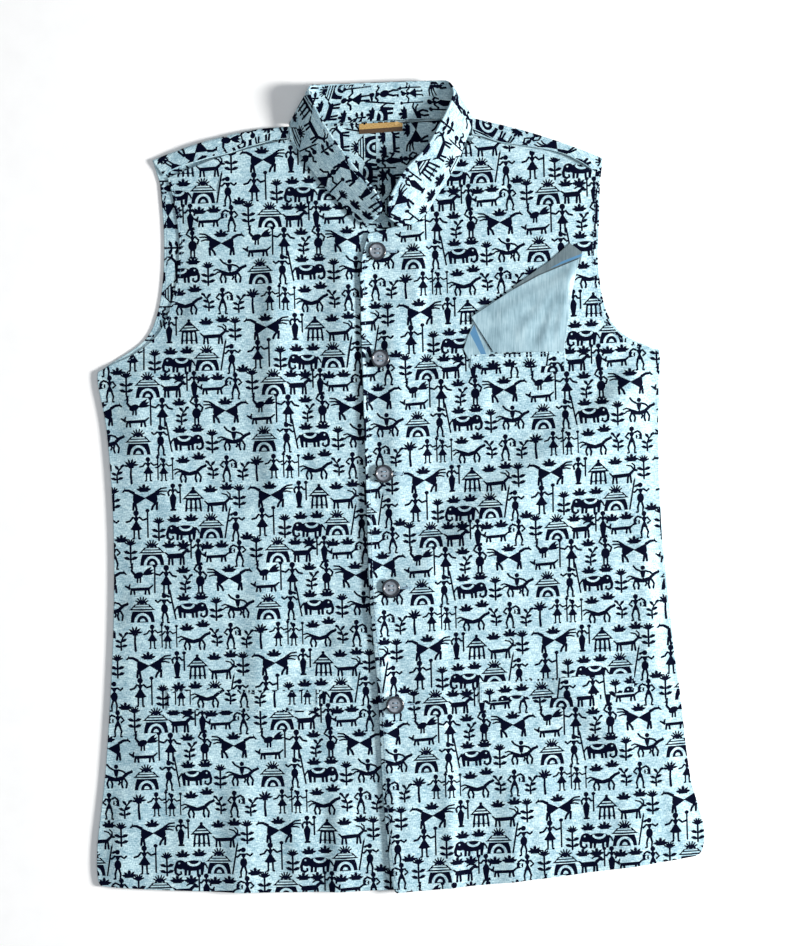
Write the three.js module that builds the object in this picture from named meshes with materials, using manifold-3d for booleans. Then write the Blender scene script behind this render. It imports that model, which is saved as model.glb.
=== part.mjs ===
// A sleeveless, buttoned Nehru jacket laid flat on its back, front side up.
// Millimetres. X runs across the jacket, Y from the hem to the collar, Z up.
// Right and left are the wearer's: the wearer's right front lies on the -X side.

import * as THREE from 'three';
import { mergeVertices } from 'three/addons/utils/BufferGeometryUtils.js';
import Module from 'manifold-3d';

const wasm = await Module();
wasm.setup();

// ---------------------------------------------------------------- driving sizes

const CLOTH = 1.6;             // jacket cloth with its fused backing
const COLLAR_CLOTH = 2.4;      // two layers and a stiff interlining
const LABEL_CLOTH = 1.0;
const SEAM_GAP = 0.3;          // between any two pieces that meet
const LAP = 38;                // how far the left front reaches over the right one
const LAP_GAP = 0.6;           // between the two lapped fronts, where their facets differ
const LAP_EASE = 14;           // width over which the left front comes down past the lap
const CROWN = 2.2;             // height of the fronts above the back, away from the edges
const EDGE_ROLL = 16;          // width over which a front comes down to the back
const COLUMN_HEIGHT = 40;      // taller than anything lying on a front
const SHOULDER_LEG = 9;        // lower leg of the shoulder roll, let into the back
const SHOULDER_GAP = 0.4;      // measured across the seam, so that 0.3 is left along it
const SHOULDER_TURNS = 6;      // facets round the shoulder fold

const FRONT_COLUMNS = 18;      // facets across a front
const BACK_COLUMNS = 16;       // facets across the back

const BUTTON_RADIUS = 8.5;
const BUTTON_HEIGHT = 3.4;
const BUTTON_RIM = 2.1;
const BUTTON_DISH = 1.1;
const BUTTON_HOLE_RADIUS = 0.95;
const BUTTON_HOLE_OFFSET = 2.0;
const BUTTON_SIDES = 28;

// ---------------------------------------------------------------- colours

const SILK = { color: 0x6f98ad, roughness: 0.45, metalness: 0.0 };
const SILK_INSIDE = { color: 0x6589a0, roughness: 0.55, metalness: 0.0 };
const SATIN = { color: 0x8fbdd0, roughness: 0.35, metalness: 0.0 };
const BUTTON_PLASTIC = { color: 0x5a7391, roughness: 0.25, metalness: 0.0 };
const LABEL_WEAVE = { color: 0xb79a4e, roughness: 0.6, metalness: 0.0 };

// ---------------------------------------------------------------- outlines

// Sections of the right front from hem to shoulder seam. `outer` is the side seam and
// armhole, `inner` the neck seam or the visible centre line; `bow` lifts the middle.
const rightFrontSections = [
  { outerX: -276.0, outerY: -376.0, innerX: -6.0, innerY: -376.5, bow: -4.5 },
  { outerX: -283.0, outerY: -371.0, innerX: -6.5, innerY: -371.0, bow: -4.0 },
  { outerX: -284.0, outerY: -337.0, innerX: -10.0, innerY: -337.0, bow: 0.0 },
  { outerX: -276.0, outerY: -262.0, innerX: -17.0, innerY: -262.0, bow: 0.0 },
  { outerX: -269.5, outerY: -145.0, innerX: -26.0, innerY: -145.0, bow: 0.0 },
  { outerX: -269.0, outerY: -42.0, innerX: -30.0, innerY: -42.0, bow: 0.0 },
  { outerX: -275.0, outerY: 48.0, innerX: -34.0, innerY: 48.0, bow: 0.0 },
  { outerX: -284.0, outerY: 100.0, innerX: -35.0, innerY: 94.0, bow: 0.0 },
  { outerX: -277.0, outerY: 110.5, innerX: -35.0, innerY: 106.0, bow: 0.0 },
  { outerX: -248.0, outerY: 125.0, innerX: -36.0, innerY: 124.0, bow: 0.0 },
  { outerX: -225.0, outerY: 146.0, innerX: -36.5, innerY: 148.0, bow: 0.0 },
  { outerX: -211.5, outerY: 184.0, innerX: -37.5, innerY: 185.0, bow: 0.0 },
  { outerX: -207.5, outerY: 222.0, innerX: -36.5, innerY: 222.0, bow: 0.0 },
  { outerX: -208.5, outerY: 240.0, innerX: -33.0, innerY: 239.0, bow: 0.0 },
  { outerX: -209.0, outerY: 246.0, innerX: -32.5, innerY: 242.5, bow: 0.0, neck: true },
  { outerX: -211.5, outerY: 260.0, innerX: -58.5, innerY: 270.0, bow: 0.0, neck: true },
  { outerX: -214.5, outerY: 276.0, innerX: -81.5, innerY: 298.0, bow: 1.5, neck: true },
  { outerX: -218.5, outerY: 289.0, innerX: -103.0, innerY: 325.0, bow: 4.0, neck: true },
];

// Sections of the left front, which laps over the right one.
const leftFrontSections = [
  { outerX: 277.0, outerY: -347.5, innerX: -3.0, innerY: -380.5, bow: -3.5 },
  { outerX: 284.0, outerY: -341.0, innerX: -6.0, innerY: -376.0, bow: -3.0 },
  { outerX: 285.0, outerY: -318.0, innerX: -9.5, innerY: -355.0, bow: 0.0 },
  { outerX: 272.0, outerY: -269.0, innerX: -16.0, innerY: -289.0, bow: 0.0 },
  { outerX: 262.5, outerY: -190.0, innerX: -21.0, innerY: -190.0, bow: 0.0 },
  { outerX: 250.0, outerY: -102.0, innerX: -28.5, innerY: -102.0, bow: 0.0 },
  { outerX: 243.5, outerY: 3.0, innerX: -32.0, innerY: 3.0, bow: 0.0 },
  { outerX: 242.5, outerY: 86.0, innerX: -34.5, innerY: 86.0, bow: 0.0 },
  { outerX: 244.0, outerY: 121.0, innerX: -35.5, innerY: 118.0, bow: 0.0 },
  { outerX: 236.0, outerY: 129.0, innerX: -36.0, innerY: 128.0, bow: 0.0 },
  { outerX: 208.5, outerY: 141.0, innerX: -36.5, innerY: 146.0, bow: 0.0 },
  { outerX: 191.0, outerY: 165.0, innerX: -37.0, innerY: 170.0, bow: 0.0 },
  { outerX: 184.0, outerY: 206.0, innerX: -37.0, innerY: 206.0, bow: 0.0 },
  { outerX: 184.5, outerY: 236.0, innerX: -30.0, innerY: 236.0, bow: 0.0 },
  { outerX: 184.5, outerY: 241.0, innerX: -13.0, innerY: 240.5, bow: 0.0, neck: true },
  { outerX: 185.5, outerY: 252.0, innerX: 20.0, innerY: 252.5, bow: 0.0, neck: true },
  { outerX: 186.0, outerY: 270.0, innerX: 34.5, innerY: 278.0, bow: 0.0, neck: true },
  { outerX: 186.5, outerY: 283.0, innerX: 53.0, innerY: 307.0, bow: 1.0, neck: true },
  { outerX: 187.4, outerY: 294.5, innerX: 69.0, innerY: 327.0, bow: 2.0, neck: true },
];

// Sections of the back from hem to shoulders: its right edge and its left edge.
const backSections = [
  { rightX: -276.0, rightY: -372.0, leftX: 276.0, leftY: -344.0, bow: -17.0 },
  { rightX: -283.0, rightY: -366.0, leftX: 284.0, leftY: -337.0, bow: -16.0 },
  { rightX: -284.3, rightY: -337.0, leftX: 285.3, leftY: -318.0, bow: -12.0 },
  { rightX: -276.3, rightY: -262.0, leftX: 271.8, leftY: -267.0, bow: -4.0 },
  { rightX: -269.8, rightY: -145.0, leftX: 257.0, leftY: -145.0, bow: 0.0 },
  { rightX: -269.3, rightY: -42.0, leftX: 246.5, leftY: -42.0, bow: 0.0 },
  { rightX: -275.3, rightY: 48.0, leftX: 243.3, leftY: 48.0, bow: 0.0 },
  { rightX: -284.3, rightY: 100.0, leftX: 244.5, leftY: 121.0, bow: 0.0 },
  { rightX: -277.5, rightY: 111.0, leftX: 236.5, leftY: 129.8, bow: 0.0 },
  { rightX: -241.0, rightY: 136.0, leftX: 209.5, leftY: 143.0, bow: 0.0 },
  { rightX: -228.0, rightY: 162.0, leftX: 193.5, leftY: 166.0, bow: 0.0 },
  { rightX: -222.5, rightY: 198.0, leftX: 186.5, leftY: 206.0, bow: 0.0 },
  { rightX: -222.0, rightY: 240.0, leftX: 187.0, leftY: 240.0, bow: 0.0 },
  { rightX: -225.5, rightY: 284.0, leftX: 188.0, leftY: 284.0, bow: 10.0 },
];

// The fold along each shoulder, from armhole to neck. The shoulder seam in front of it
// is the last section of each front.
const shoulderFolds = {
  right: [[-230, 307], [-190, 321.5], [-142, 333.5], [-104, 337.5]],
  left: [[188.6, 308.5], [160, 319.5], [117, 333.5], [70, 345]],
};

// The neck edge of the back, under the collar.
const backNeck = [[-103, 333.5], [-38, 339.5], [2, 342.5], [34, 343.3], [68, 341]];

// Soft folds of the two fronts: ridges from one end to the other. `reach` is the
// distance to half height on the gentle side and `steep` on the sharp side.
const folds = [
  { name: 'chest ridge, right', x0: -121, y0: 215, x1: -122, y1: -8, reach: 18, steep: 9, rise: 2.6 },
  { name: 'waist ridge, right', x0: -130, y0: -40, x1: -138, y1: -205, reach: 18, steep: 10, rise: 1.5 },
  { name: 'hem ridge, right', x0: -148, y0: -290, x1: -151, y1: -400, reach: 20, steep: 10, rise: 2.4 },
  { name: 'short ridge by the collar', x0: -60, y0: 232, x1: -56, y1: 112, reach: 14, steep: 9, rise: 1.8 },
  { name: 'ridge from the side seam', x0: -275, y0: -132, x1: -150, y1: -84, reach: 16, steep: 9, rise: 1.1 },
  { name: 'hem ridge by the edge', x0: -44, y0: -285, x1: -42, y1: -400, reach: 13, steep: 9, rise: 1.6 },
  { name: 'pull to the armhole, high', x0: 226, y0: 104, x1: 60, y1: -50, reach: 30, steep: 13, rise: 2.6 },
  { name: 'pull to the armhole, low', x0: 60, y0: -50, x1: -58, y1: -158, reach: 26, steep: 14, rise: 1.6 },
  { name: 'side ridge, left', x0: 224, y0: -52, x1: 232, y1: -178, reach: 16, steep: 9, rise: 1.6 },
  { name: 'pocket ridge, left', x0: 152, y0: -184, x1: 214, y1: -262, reach: 20, steep: 11, rise: 1.4 },
  { name: 'hem ridge, left', x0: 96, y0: -262, x1: 100, y1: -400, reach: 18, steep: 10, rise: 1.7 },
  { name: 'outer hem ridge, left', x0: 208, y0: -290, x1: 222, y1: -400, reach: 18, steep: 11, rise: 1.1 },
];

// Stations round the collar, from the wearer's right front end to the left one:
// where its lower edge is sewn on, and where its free edge stands.
const collarStations = [
  { seamX: -30.0, seamY: 244.5, seamZ: 8.4, edgeX: -20.5, edgeY: 250.5, edgeZ: 13.0 },
  { seamX: -35.5, seamY: 246.5, seamZ: 8.4, edgeX: -16.4, edgeY: 259.0, edgeZ: 22.0 },
  { seamX: -46.0, seamY: 256.0, seamZ: 8.4, edgeX: -22.6, edgeY: 273.5, edgeZ: 27.0 },
  { seamX: -61.5, seamY: 271.5, seamZ: 8.4, edgeX: -38.0, edgeY: 291.5, edgeZ: 28.0 },
  { seamX: -84.0, seamY: 299.0, seamZ: 8.4, edgeX: -56.0, edgeY: 314.5, edgeZ: 28.0 },
  { seamX: -95.5, seamY: 319.0, seamZ: 8.4, edgeX: -68.5, edgeY: 333.5, edgeZ: 27.5 },
  { seamX: -100.5, seamY: 332.5, seamZ: 8.0, edgeX: -77.5, edgeY: 349.5, edgeZ: 26.5 },
  { seamX: -102.5, seamY: 339.5, seamZ: 5.8, edgeX: -83.5, edgeY: 365.5, edgeZ: 23.0 },
  { seamX: -100.0, seamY: 341.0, seamZ: 2.6, edgeX: -82.5, edgeY: 373.0, edgeZ: 16.0 },
  { seamX: -88.0, seamY: 338.0, seamZ: 1.3, edgeX: -74.0, edgeY: 374.5, edgeZ: 12.0 },
  { seamX: -58.0, seamY: 340.5, seamZ: 1.3, edgeX: -48.0, edgeY: 376.0, edgeZ: 10.0 },
  { seamX: -20.0, seamY: 343.5, seamZ: 1.3, edgeX: -15.0, edgeY: 377.5, edgeZ: 9.5 },
  { seamX: 20.0, seamY: 346.0, seamZ: 1.3, edgeX: 16.0, edgeY: 378.5, edgeZ: 10.0 },
  { seamX: 50.0, seamY: 345.5, seamZ: 1.3, edgeX: 35.0, edgeY: 378.5, edgeZ: 12.0 },
  { seamX: 63.5, seamY: 348.0, seamZ: 2.6, edgeX: 44.5, edgeY: 376.5, edgeZ: 15.5 },
  { seamX: 66.8, seamY: 345.0, seamZ: 5.8, edgeX: 49.0, edgeY: 367.0, edgeZ: 20.0 },
  { seamX: 65.0, seamY: 335.0, seamZ: 8.2, edgeX: 46.5, edgeY: 356.0, edgeZ: 22.5 },
  { seamX: 59.5, seamY: 321.5, seamZ: 8.6, edgeX: 37.0, edgeY: 337.0, edgeZ: 23.5 },
  { seamX: 51.5, seamY: 301.5, seamZ: 8.6, edgeX: 23.5, edgeY: 314.0, edgeZ: 23.5 },
  { seamX: 35.0, seamY: 274.5, seamZ: 8.6, edgeX: 5.5, edgeY: 295.0, edgeZ: 23.0 },
  { seamX: 22.0, seamY: 254.5, seamZ: 9.0, edgeX: -6.5, edgeY: 275.0, edgeZ: 22.0 },
  { seamX: 10.0, seamY: 246.0, seamZ: 9.4, edgeX: -11.8, edgeY: 261.0, edgeZ: 19.5 },
  { seamX: -1.0, seamY: 242.5, seamZ: 9.6, edgeX: -11.0, edgeY: 249.5, edgeZ: 14.0 },
];

// Welts by their four corners, from the lower -X corner round to the upper one.
const welts = [
  { name: 'breast_welt', panel: 'left', corners: [[65.5, 110.5], [156, 113], [154.5, 127], [66.5, 123]] },
  { name: 'lower_welt_right', panel: 'right', corners: [[-218, -210], [-76, -210.5], [-76, -191], [-218, -190.5]] },
  { name: 'lower_welt_left', panel: 'left', corners: [[74.5, -203], [219, -193], [219, -175], [74.5, -184]] },
];

// The pocket square, pulled up to one corner: its near layer and the one behind it.
const squareNear = [[87, 128], [152, 128.5], [164, 206], [68.5, 160]];
const squareFar = [[68.5, 161], [164.3, 207], [166.8, 218], [159, 226.5]];

const buttons = [
  { name: 'button_1', x: -21.3, y: 219.5 },
  { name: 'button_2', x: -18.5, y: 119.0 },
  { name: 'button_3', x: -15.1, y: 11.5 },
  { name: 'button_4', x: -8.3, y: -95.0 },
  { name: 'button_5', x: -4.5, y: -204.5 },
];

const label = { left: -38.5, right: 2.4, bottom: 330.5, top: 337.5, slant: 3 };

// ---------------------------------------------------------------- heights

const smooth = (t) => {
  const s = Math.min(1, Math.max(0, t));
  return s * s * (3 - 2 * s);
};

const lerp = (a, b, t) => a + (b - a) * t;

// Point on a row of stations by a Catmull-Rom curve through each column.
function stationAt(stations, columns, position) {
  const last = stations.length - 1;
  const i = Math.min(last - 1, Math.floor(position));
  const t = position - i;
  const row = (k) => stations[Math.min(last, Math.max(0, k))];
  const point = {};
  for (const column of columns) {
    const [p0, p1, p2, p3] = [row(i - 1), row(i), row(i + 1), row(i + 2)].map((r) => r[column]);
    const a = 2 * p0 - 5 * p1 + 4 * p2 - p3;
    const b = 3 * p1 - p0 - 3 * p2 + p3;
    point[column] = 0.5 * (2 * p1 + (p2 - p0) * t + a * t * t + b * t * t * t);
  }
  return point;
}

function foldRise(fold, x, y) {
  const dx = fold.x1 - fold.x0;
  const dy = fold.y1 - fold.y0;
  const length = Math.hypot(dx, dy);
  const along = ((x - fold.x0) * dx + (y - fold.y0) * dy) / (length * length);
  const across = ((x - fold.x0) * dy - (y - fold.y0) * dx) / length;
  const width = across > 0 ? fold.steep : fold.reach;
  const ends = smooth(along / 0.25 + 0.5) * smooth((1 - along) / 0.25 + 0.5);
  return fold.rise * ends * Math.exp(-((across / width) ** 2));
}

// How far a point is inside the side seams and armholes, as 0 at them to 1 well inside.
function insideShare(sections, x, y) {
  let nearest = Infinity;
  for (let i = 0; i < sections.length - 1; i += 1) {
    const a = sections[i];
    const b = sections[i + 1];
    const dx = b.outerX - a.outerX;
    const dy = b.outerY - a.outerY;
    const share = ((x - a.outerX) * dx + (y - a.outerY) * dy) / (dx * dx + dy * dy);
    const t = Math.min(1, Math.max(0, share));
    nearest = Math.min(nearest, Math.hypot(x - a.outerX - dx * t, y - a.outerY - dy * t));
  }
  return 1 - Math.exp(-((nearest / EDGE_ROLL) ** 2));
}

// Underside of the front layer above the surface that the jacket lies on.
function layerHeight(sections, x, y) {
  const rise = folds.reduce((sum, fold) => sum + foldRise(fold, x, y), 0);
  return CLOTH + SEAM_GAP + insideShare(sections, x, y) * (CROWN + rise);
}

const centreLineX = (y) => lerp(-4, -37, smooth((y + 400) / 520));

// The left front climbs over the lapped edge of the right one and comes down past it.
function lapLift(x, y) {
  const past = (x - centreLineX(y) - LAP - LAP_EASE) / LAP_EASE;
  return (CLOTH + LAP_GAP) * (1 - smooth(past));
}

const undersideOf = {
  right: (x, y) => layerHeight(rightFrontSections, x, y),
  left: (x, y) => layerHeight(leftFrontSections, x, y) + lapLift(x, y),
};

// ---------------------------------------------------------------- solids

// A closed wall between two grids of points that face each other.
function wallGeometry(upper, lower) {
  const rows = upper.length;
  const columns = upper[0].length;
  const points = [...upper.flat(), ...lower.flat()];
  const faces = [];
  const top = (r, c) => r * columns + c;
  const under = (r, c) => rows * columns + r * columns + c;
  const quad = (a, b, c, d) => faces.push(a, b, c, a, c, d);
  for (let r = 0; r < rows - 1; r += 1) {
    for (let c = 0; c < columns - 1; c += 1) {
      quad(top(r, c), top(r, c + 1), top(r + 1, c + 1), top(r + 1, c));
      quad(under(r, c), under(r + 1, c), under(r + 1, c + 1), under(r, c + 1));
    }
  }
  for (let c = 0; c < columns - 1; c += 1) {
    quad(top(0, c), under(0, c), under(0, c + 1), top(0, c + 1));
    quad(top(rows - 1, c), top(rows - 1, c + 1), under(rows - 1, c + 1), under(rows - 1, c));
  }
  for (let r = 0; r < rows - 1; r += 1) {
    quad(top(r, 0), top(r + 1, 0), under(r + 1, 0), under(r, 0));
    quad(top(r, columns - 1), under(r, columns - 1), under(r + 1, columns - 1), top(r + 1, columns - 1));
  }
  const geometry = new THREE.BufferGeometry();
  geometry.setAttribute('position', new THREE.Float32BufferAttribute(points.flat(), 3));
  geometry.setIndex(faces);
  return geometry;
}

function toManifold(geometry) {
  const bare = geometry.clone();
  bare.deleteAttribute('normal');
  bare.deleteAttribute('uv');
  const merged = mergeVertices(bare, 1e-4);
  const vertProperties = new Float32Array(merged.getAttribute('position').array);
  const triVerts = new Uint32Array(merged.getIndex().array);
  return new wasm.Manifold(new wasm.Mesh({ numProp: 3, vertProperties, triVerts }));
}

function fromManifold(solid) {
  const mesh = solid.getMesh();
  const geometry = new THREE.BufferGeometry();
  geometry.setAttribute('position', new THREE.Float32BufferAttribute(mesh.vertProperties, 3));
  geometry.setIndex(Array.from(mesh.triVerts));
  return geometry;
}

// Grid of plan points between the two sides of a panel, a few steps to each section.
function panelPlan(sections, ends, columns, stepsPerSection) {
  const plan = [];
  const names = [...ends[0], ...ends[1], 'bow'];
  const steps = (sections.length - 1) * stepsPerSection;
  for (let r = 0; r <= steps; r += 1) {
    const s = stationAt(sections, names, r / stepsPerSection);
    const row = [];
    for (let c = 0; c <= columns; c += 1) {
      const t = c / columns;
      const x = lerp(s[ends[0][0]], s[ends[1][0]], t);
      const y = lerp(s[ends[0][1]], s[ends[1][1]], t) + s.bow * 4 * t * (1 - t);
      row.push([x, y]);
    }
    plan.push(row);
  }
  return plan;
}

// A wall on a plan grid, `lift` above the given underside and `thick` through.
function layOn(plan, underside, lift, thick) {
  const at = (extra) => plan.map((row) => row.map(([x, y]) => [x, y, underside(x, y) + lift + extra]));
  return wallGeometry(at(thick), at(0));
}

const withLap = (section) => (section.neck ? section : { ...section, innerX: section.innerX + LAP });

function rightFront() {
  const sections = rightFrontSections.map(withLap);
  const plan = panelPlan(sections, [['outerX', 'outerY'], ['innerX', 'innerY']], FRONT_COLUMNS, 2);
  return layOn(plan, undersideOf.right, 0, CLOTH);
}

function leftFront() {
  const plan = panelPlan(leftFrontSections, [['innerX', 'innerY'], ['outerX', 'outerY']], FRONT_COLUMNS, 2);
  return layOn(plan, undersideOf.left, 0, CLOTH);
}

// The shoulder seam of a front, from armhole to neck, at the share `t` along it.
function shoulderSeamPoint(sections, t) {
  const s = sections[sections.length - 1];
  return new THREE.Vector3(lerp(s.outerX, s.innerX, t), lerp(s.outerY, s.innerY, t) + s.bow * 4 * t * (1 - t), 0);
}

function foldCurve(points) {
  return new THREE.CatmullRomCurve3(points.map(([x, y]) => new THREE.Vector3(x, y, 0)));
}

// The cloth of the back turned over one shoulder: a lower leg, a round fold and the
// strip that comes forward to the shoulder seam. Returns its two faces as grids.
function shoulderRoll(fold, sections, underside) {
  const outside = [];
  const inside = [];
  for (let c = 0; c <= FRONT_COLUMNS; c += 1) {
    const q = foldCurve(fold).getPoint(c / FRONT_COLUMNS);
    const p = shoulderSeamPoint(sections, c / FRONT_COLUMNS);
    const forward = p.clone().sub(q).normalize();
    const top = underside(p.x, p.y) + CLOTH;
    const radius = top / 2;
    const centre = q.clone().addScaledVector(forward, radius);
    const leg = centre.clone().addScaledVector(forward, SHOULDER_LEG);
    const end = p.clone().addScaledVector(forward, -SHOULDER_GAP);
    const outsideRow = [[leg.x, leg.y, 0]];
    const insideRow = [[leg.x, leg.y, CLOTH]];
    for (let k = 0; k <= SHOULDER_TURNS; k += 1) {
      const angle = Math.PI * (k / SHOULDER_TURNS);
      for (const [row, r] of [[outsideRow, radius], [insideRow, radius - CLOTH]]) {
        const at = centre.clone().addScaledVector(forward, -Math.sin(angle) * r);
        row.push([at.x, at.y, radius - Math.cos(angle) * r]);
      }
    }
    outsideRow.push([end.x, end.y, top]);
    insideRow.push([end.x, end.y, top - CLOTH]);
    outside.push(outsideRow);
    inside.push(insideRow);
  }
  return { outside, inside };
}

// Where the flat plate of the back ends: let into the shoulder rolls, and at the neck.
function backTopEdge() {
  const letIn = (fold, sections) => fold.map(([x, y], i) => {
    const seam = shoulderSeamPoint(sections, i / (fold.length - 1));
    return new THREE.Vector2(lerp(x, seam.x, 0.4), lerp(y, seam.y, 0.4));
  });
  const right = letIn(shoulderFolds.right, rightFrontSections);
  const left = letIn(shoulderFolds.left, leftFrontSections).reverse();
  const neck = backNeck.map(([x, y]) => new THREE.Vector2(x, y));
  const path = new THREE.Path([...right, ...neck, ...left]);
  return path.getSpacedPoints(BACK_COLUMNS).map((point) => [point.x, point.y]);
}

// The flat plate of the back up to its shoulders and neck.
function backPlate() {
  const ends = [['rightX', 'rightY'], ['leftX', 'leftY']];
  const body = panelPlan(backSections, ends, BACK_COLUMNS, 1);
  const upper = backTopEdge();
  const lower = body[body.length - 1];
  for (const share of [0.5, 1]) {
    body.push(lower.map(([x, y], c) => [lerp(x, upper[c][0], share), lerp(y, upper[c][1], share)]));
  }
  const at = (z) => body.map((row) => row.map(([x, y]) => [x, y, z]));
  return wallGeometry(at(CLOTH), at(0));
}

function back() {
  const right = shoulderRoll(shoulderFolds.right, rightFrontSections, undersideOf.right);
  const left = shoulderRoll(shoulderFolds.left, leftFrontSections, undersideOf.left);
  const rightSolid = toManifold(wallGeometry(right.outside, right.inside));
  const leftSolid = toManifold(wallGeometry(left.inside, left.outside));
  return fromManifold(toManifold(backPlate()).add(rightSolid).add(leftSolid));
}

// The collar band: a ruled wall between its sewn edge and its free edge.
function collar() {
  const columns = ['seamX', 'seamY', 'seamZ', 'edgeX', 'edgeY', 'edgeZ'];
  const steps = (collarStations.length - 1) * 2;
  const across = 3;
  const middle = [];
  for (let r = 0; r <= steps; r += 1) {
    const s = stationAt(collarStations, columns, r / 2);
    const seam = new THREE.Vector3(s.seamX, s.seamY, s.seamZ);
    const edge = new THREE.Vector3(s.edgeX, s.edgeY, s.edgeZ);
    middle.push(Array.from({ length: across + 1 }, (_, c) => seam.clone().lerp(edge, c / across)));
  }
  const offset = (sign) => middle.map((row, r) => row.map((point, c) => {
    const before = middle[Math.max(0, r - 1)][c];
    const after = middle[Math.min(steps, r + 1)][c];
    const along = after.clone().sub(before);
    const up = row[across].clone().sub(row[0]);
    const normal = along.cross(up).normalize();
    return point.clone().addScaledVector(normal, sign * COLLAR_CLOTH / 2).toArray();
  }));
  return wallGeometry(offset(-1), offset(1));
}

// What lies on a front: the front's own wall moved out, inside an outline in plan.
function layerOn(panel, outline) {
  const fronts = { right: rightFront, left: leftFront };
  const shape = new THREE.Shape(outline.map(([x, y]) => new THREE.Vector2(x, y)));
  const column = new THREE.ExtrudeGeometry(shape, { depth: COLUMN_HEIGHT, bevelEnabled: false });
  const raised = toManifold(fronts[panel]()).translate([0, 0, CLOTH + SEAM_GAP]);
  return fromManifold(raised.intersect(toManifold(column)));
}

function neckLabel() {
  const { left, right, bottom, top, slant } = label;
  const plan = [[[left, bottom], [right, bottom + slant]], [[left, top], [right, top + slant]]];
  return layOn(plan, () => CLOTH, SEAM_GAP, LABEL_CLOTH);
}

// A dished four-hole button with a raised rim.
function buttonSolid() {
  const inner = BUTTON_RADIUS - BUTTON_RIM;
  const dishFloor = BUTTON_HEIGHT - BUTTON_DISH;
  const profile = [
    [0, 0], [BUTTON_RADIUS - 1.4, 0], [BUTTON_RADIUS, 1.3], [BUTTON_RADIUS, BUTTON_HEIGHT - 0.9],
    [BUTTON_RADIUS - 0.8, BUTTON_HEIGHT], [inner + 0.4, BUTTON_HEIGHT], [inner - 0.6, dishFloor], [0, dishFloor],
  ].map(([radius, z]) => new THREE.Vector2(radius, z));
  const body = new THREE.LatheGeometry(profile, BUTTON_SIDES);
  body.rotateX(Math.PI / 2);
  let solid = toManifold(body);
  for (const [sx, sy] of [[1, 1], [-1, 1], [-1, -1], [1, -1]]) {
    const hole = new THREE.CylinderGeometry(BUTTON_HOLE_RADIUS, BUTTON_HOLE_RADIUS, BUTTON_HEIGHT * 3, 10);
    hole.rotateX(Math.PI / 2);
    hole.translate(sx * BUTTON_HOLE_OFFSET, sy * BUTTON_HOLE_OFFSET, 0);
    solid = solid.subtract(toManifold(hole));
  }
  return fromManifold(solid);
}

// Highest point of the left front under a button.
function buttonSeat({ x, y }) {
  let height = 0;
  for (let k = 0; k < BUTTON_SIDES; k += 1) {
    const angle = (2 * Math.PI * k) / BUTTON_SIDES;
    for (const share of [0, 0.5, 1]) {
      const px = x + Math.cos(angle) * BUTTON_RADIUS * share;
      const py = y + Math.sin(angle) * BUTTON_RADIUS * share;
      height = Math.max(height, undersideOf.left(px, py) + CLOTH);
    }
  }
  return height + SEAM_GAP;
}

// ---------------------------------------------------------------- assembly

const jacket = new THREE.Group();

function addPiece(name, geometry, finish) {
  geometry.computeVertexNormals();
  const mesh = new THREE.Mesh(geometry, new THREE.MeshStandardMaterial(finish));
  mesh.name = name;
  jacket.add(mesh);
  return mesh;
}

addPiece('back', back(), SILK_INSIDE);
addPiece('front_right', rightFront(), SILK);
addPiece('front_left', leftFront(), SILK);
addPiece('collar', collar(), SILK);
addPiece('neck_label', neckLabel(), LABEL_WEAVE);
for (const { name, panel, corners } of welts) addPiece(name, layerOn(panel, corners), SILK);
addPiece('pocket_square_near', layerOn('left', squareNear), SATIN);
addPiece('pocket_square_far', layerOn('left', squareFar), SATIN);
for (const place of buttons) {
  const mesh = addPiece(place.name, buttonSolid(), BUTTON_PLASTIC);
  mesh.position.set(place.x, place.y, buttonSeat(place));
}

// The frame's origin is under the middle of the whole jacket.
const bounds = new THREE.Box3().setFromObject(jacket);
const middle = bounds.getCenter(new THREE.Vector3());
jacket.position.set(-middle.x, -middle.y, -bounds.min.z);

const group = new THREE.Group();
group.add(jacket);

export default group;
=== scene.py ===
"""A sleeveless Nehru jacket laid flat on its back: cloth, print, stitches and buttons.

Sizes are millimetres in the jacket's own plan (X across, Y from hem to collar, Z up),
the same as the CAD's before it is centred. Meshes are made in metres in the CAD's frame.
"""
import math
from collections import namedtuple

import bpy
import numpy as np
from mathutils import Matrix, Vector
from mathutils.geometry import delaunay_2d_cdt


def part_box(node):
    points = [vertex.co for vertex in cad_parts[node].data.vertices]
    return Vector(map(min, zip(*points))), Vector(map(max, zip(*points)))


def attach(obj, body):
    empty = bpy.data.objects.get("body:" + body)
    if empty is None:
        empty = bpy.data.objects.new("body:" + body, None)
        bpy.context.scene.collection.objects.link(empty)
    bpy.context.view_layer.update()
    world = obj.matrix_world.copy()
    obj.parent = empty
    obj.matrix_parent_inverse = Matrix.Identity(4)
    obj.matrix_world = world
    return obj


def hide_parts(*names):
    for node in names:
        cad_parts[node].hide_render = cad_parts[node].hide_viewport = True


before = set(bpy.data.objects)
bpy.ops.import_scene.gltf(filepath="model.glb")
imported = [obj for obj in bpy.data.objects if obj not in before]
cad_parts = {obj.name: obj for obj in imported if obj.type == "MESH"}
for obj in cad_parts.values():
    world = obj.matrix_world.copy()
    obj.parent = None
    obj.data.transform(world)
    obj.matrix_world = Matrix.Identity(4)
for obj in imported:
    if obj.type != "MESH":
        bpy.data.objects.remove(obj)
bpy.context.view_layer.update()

# ---------------------------------------------------------------- driving sizes

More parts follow.
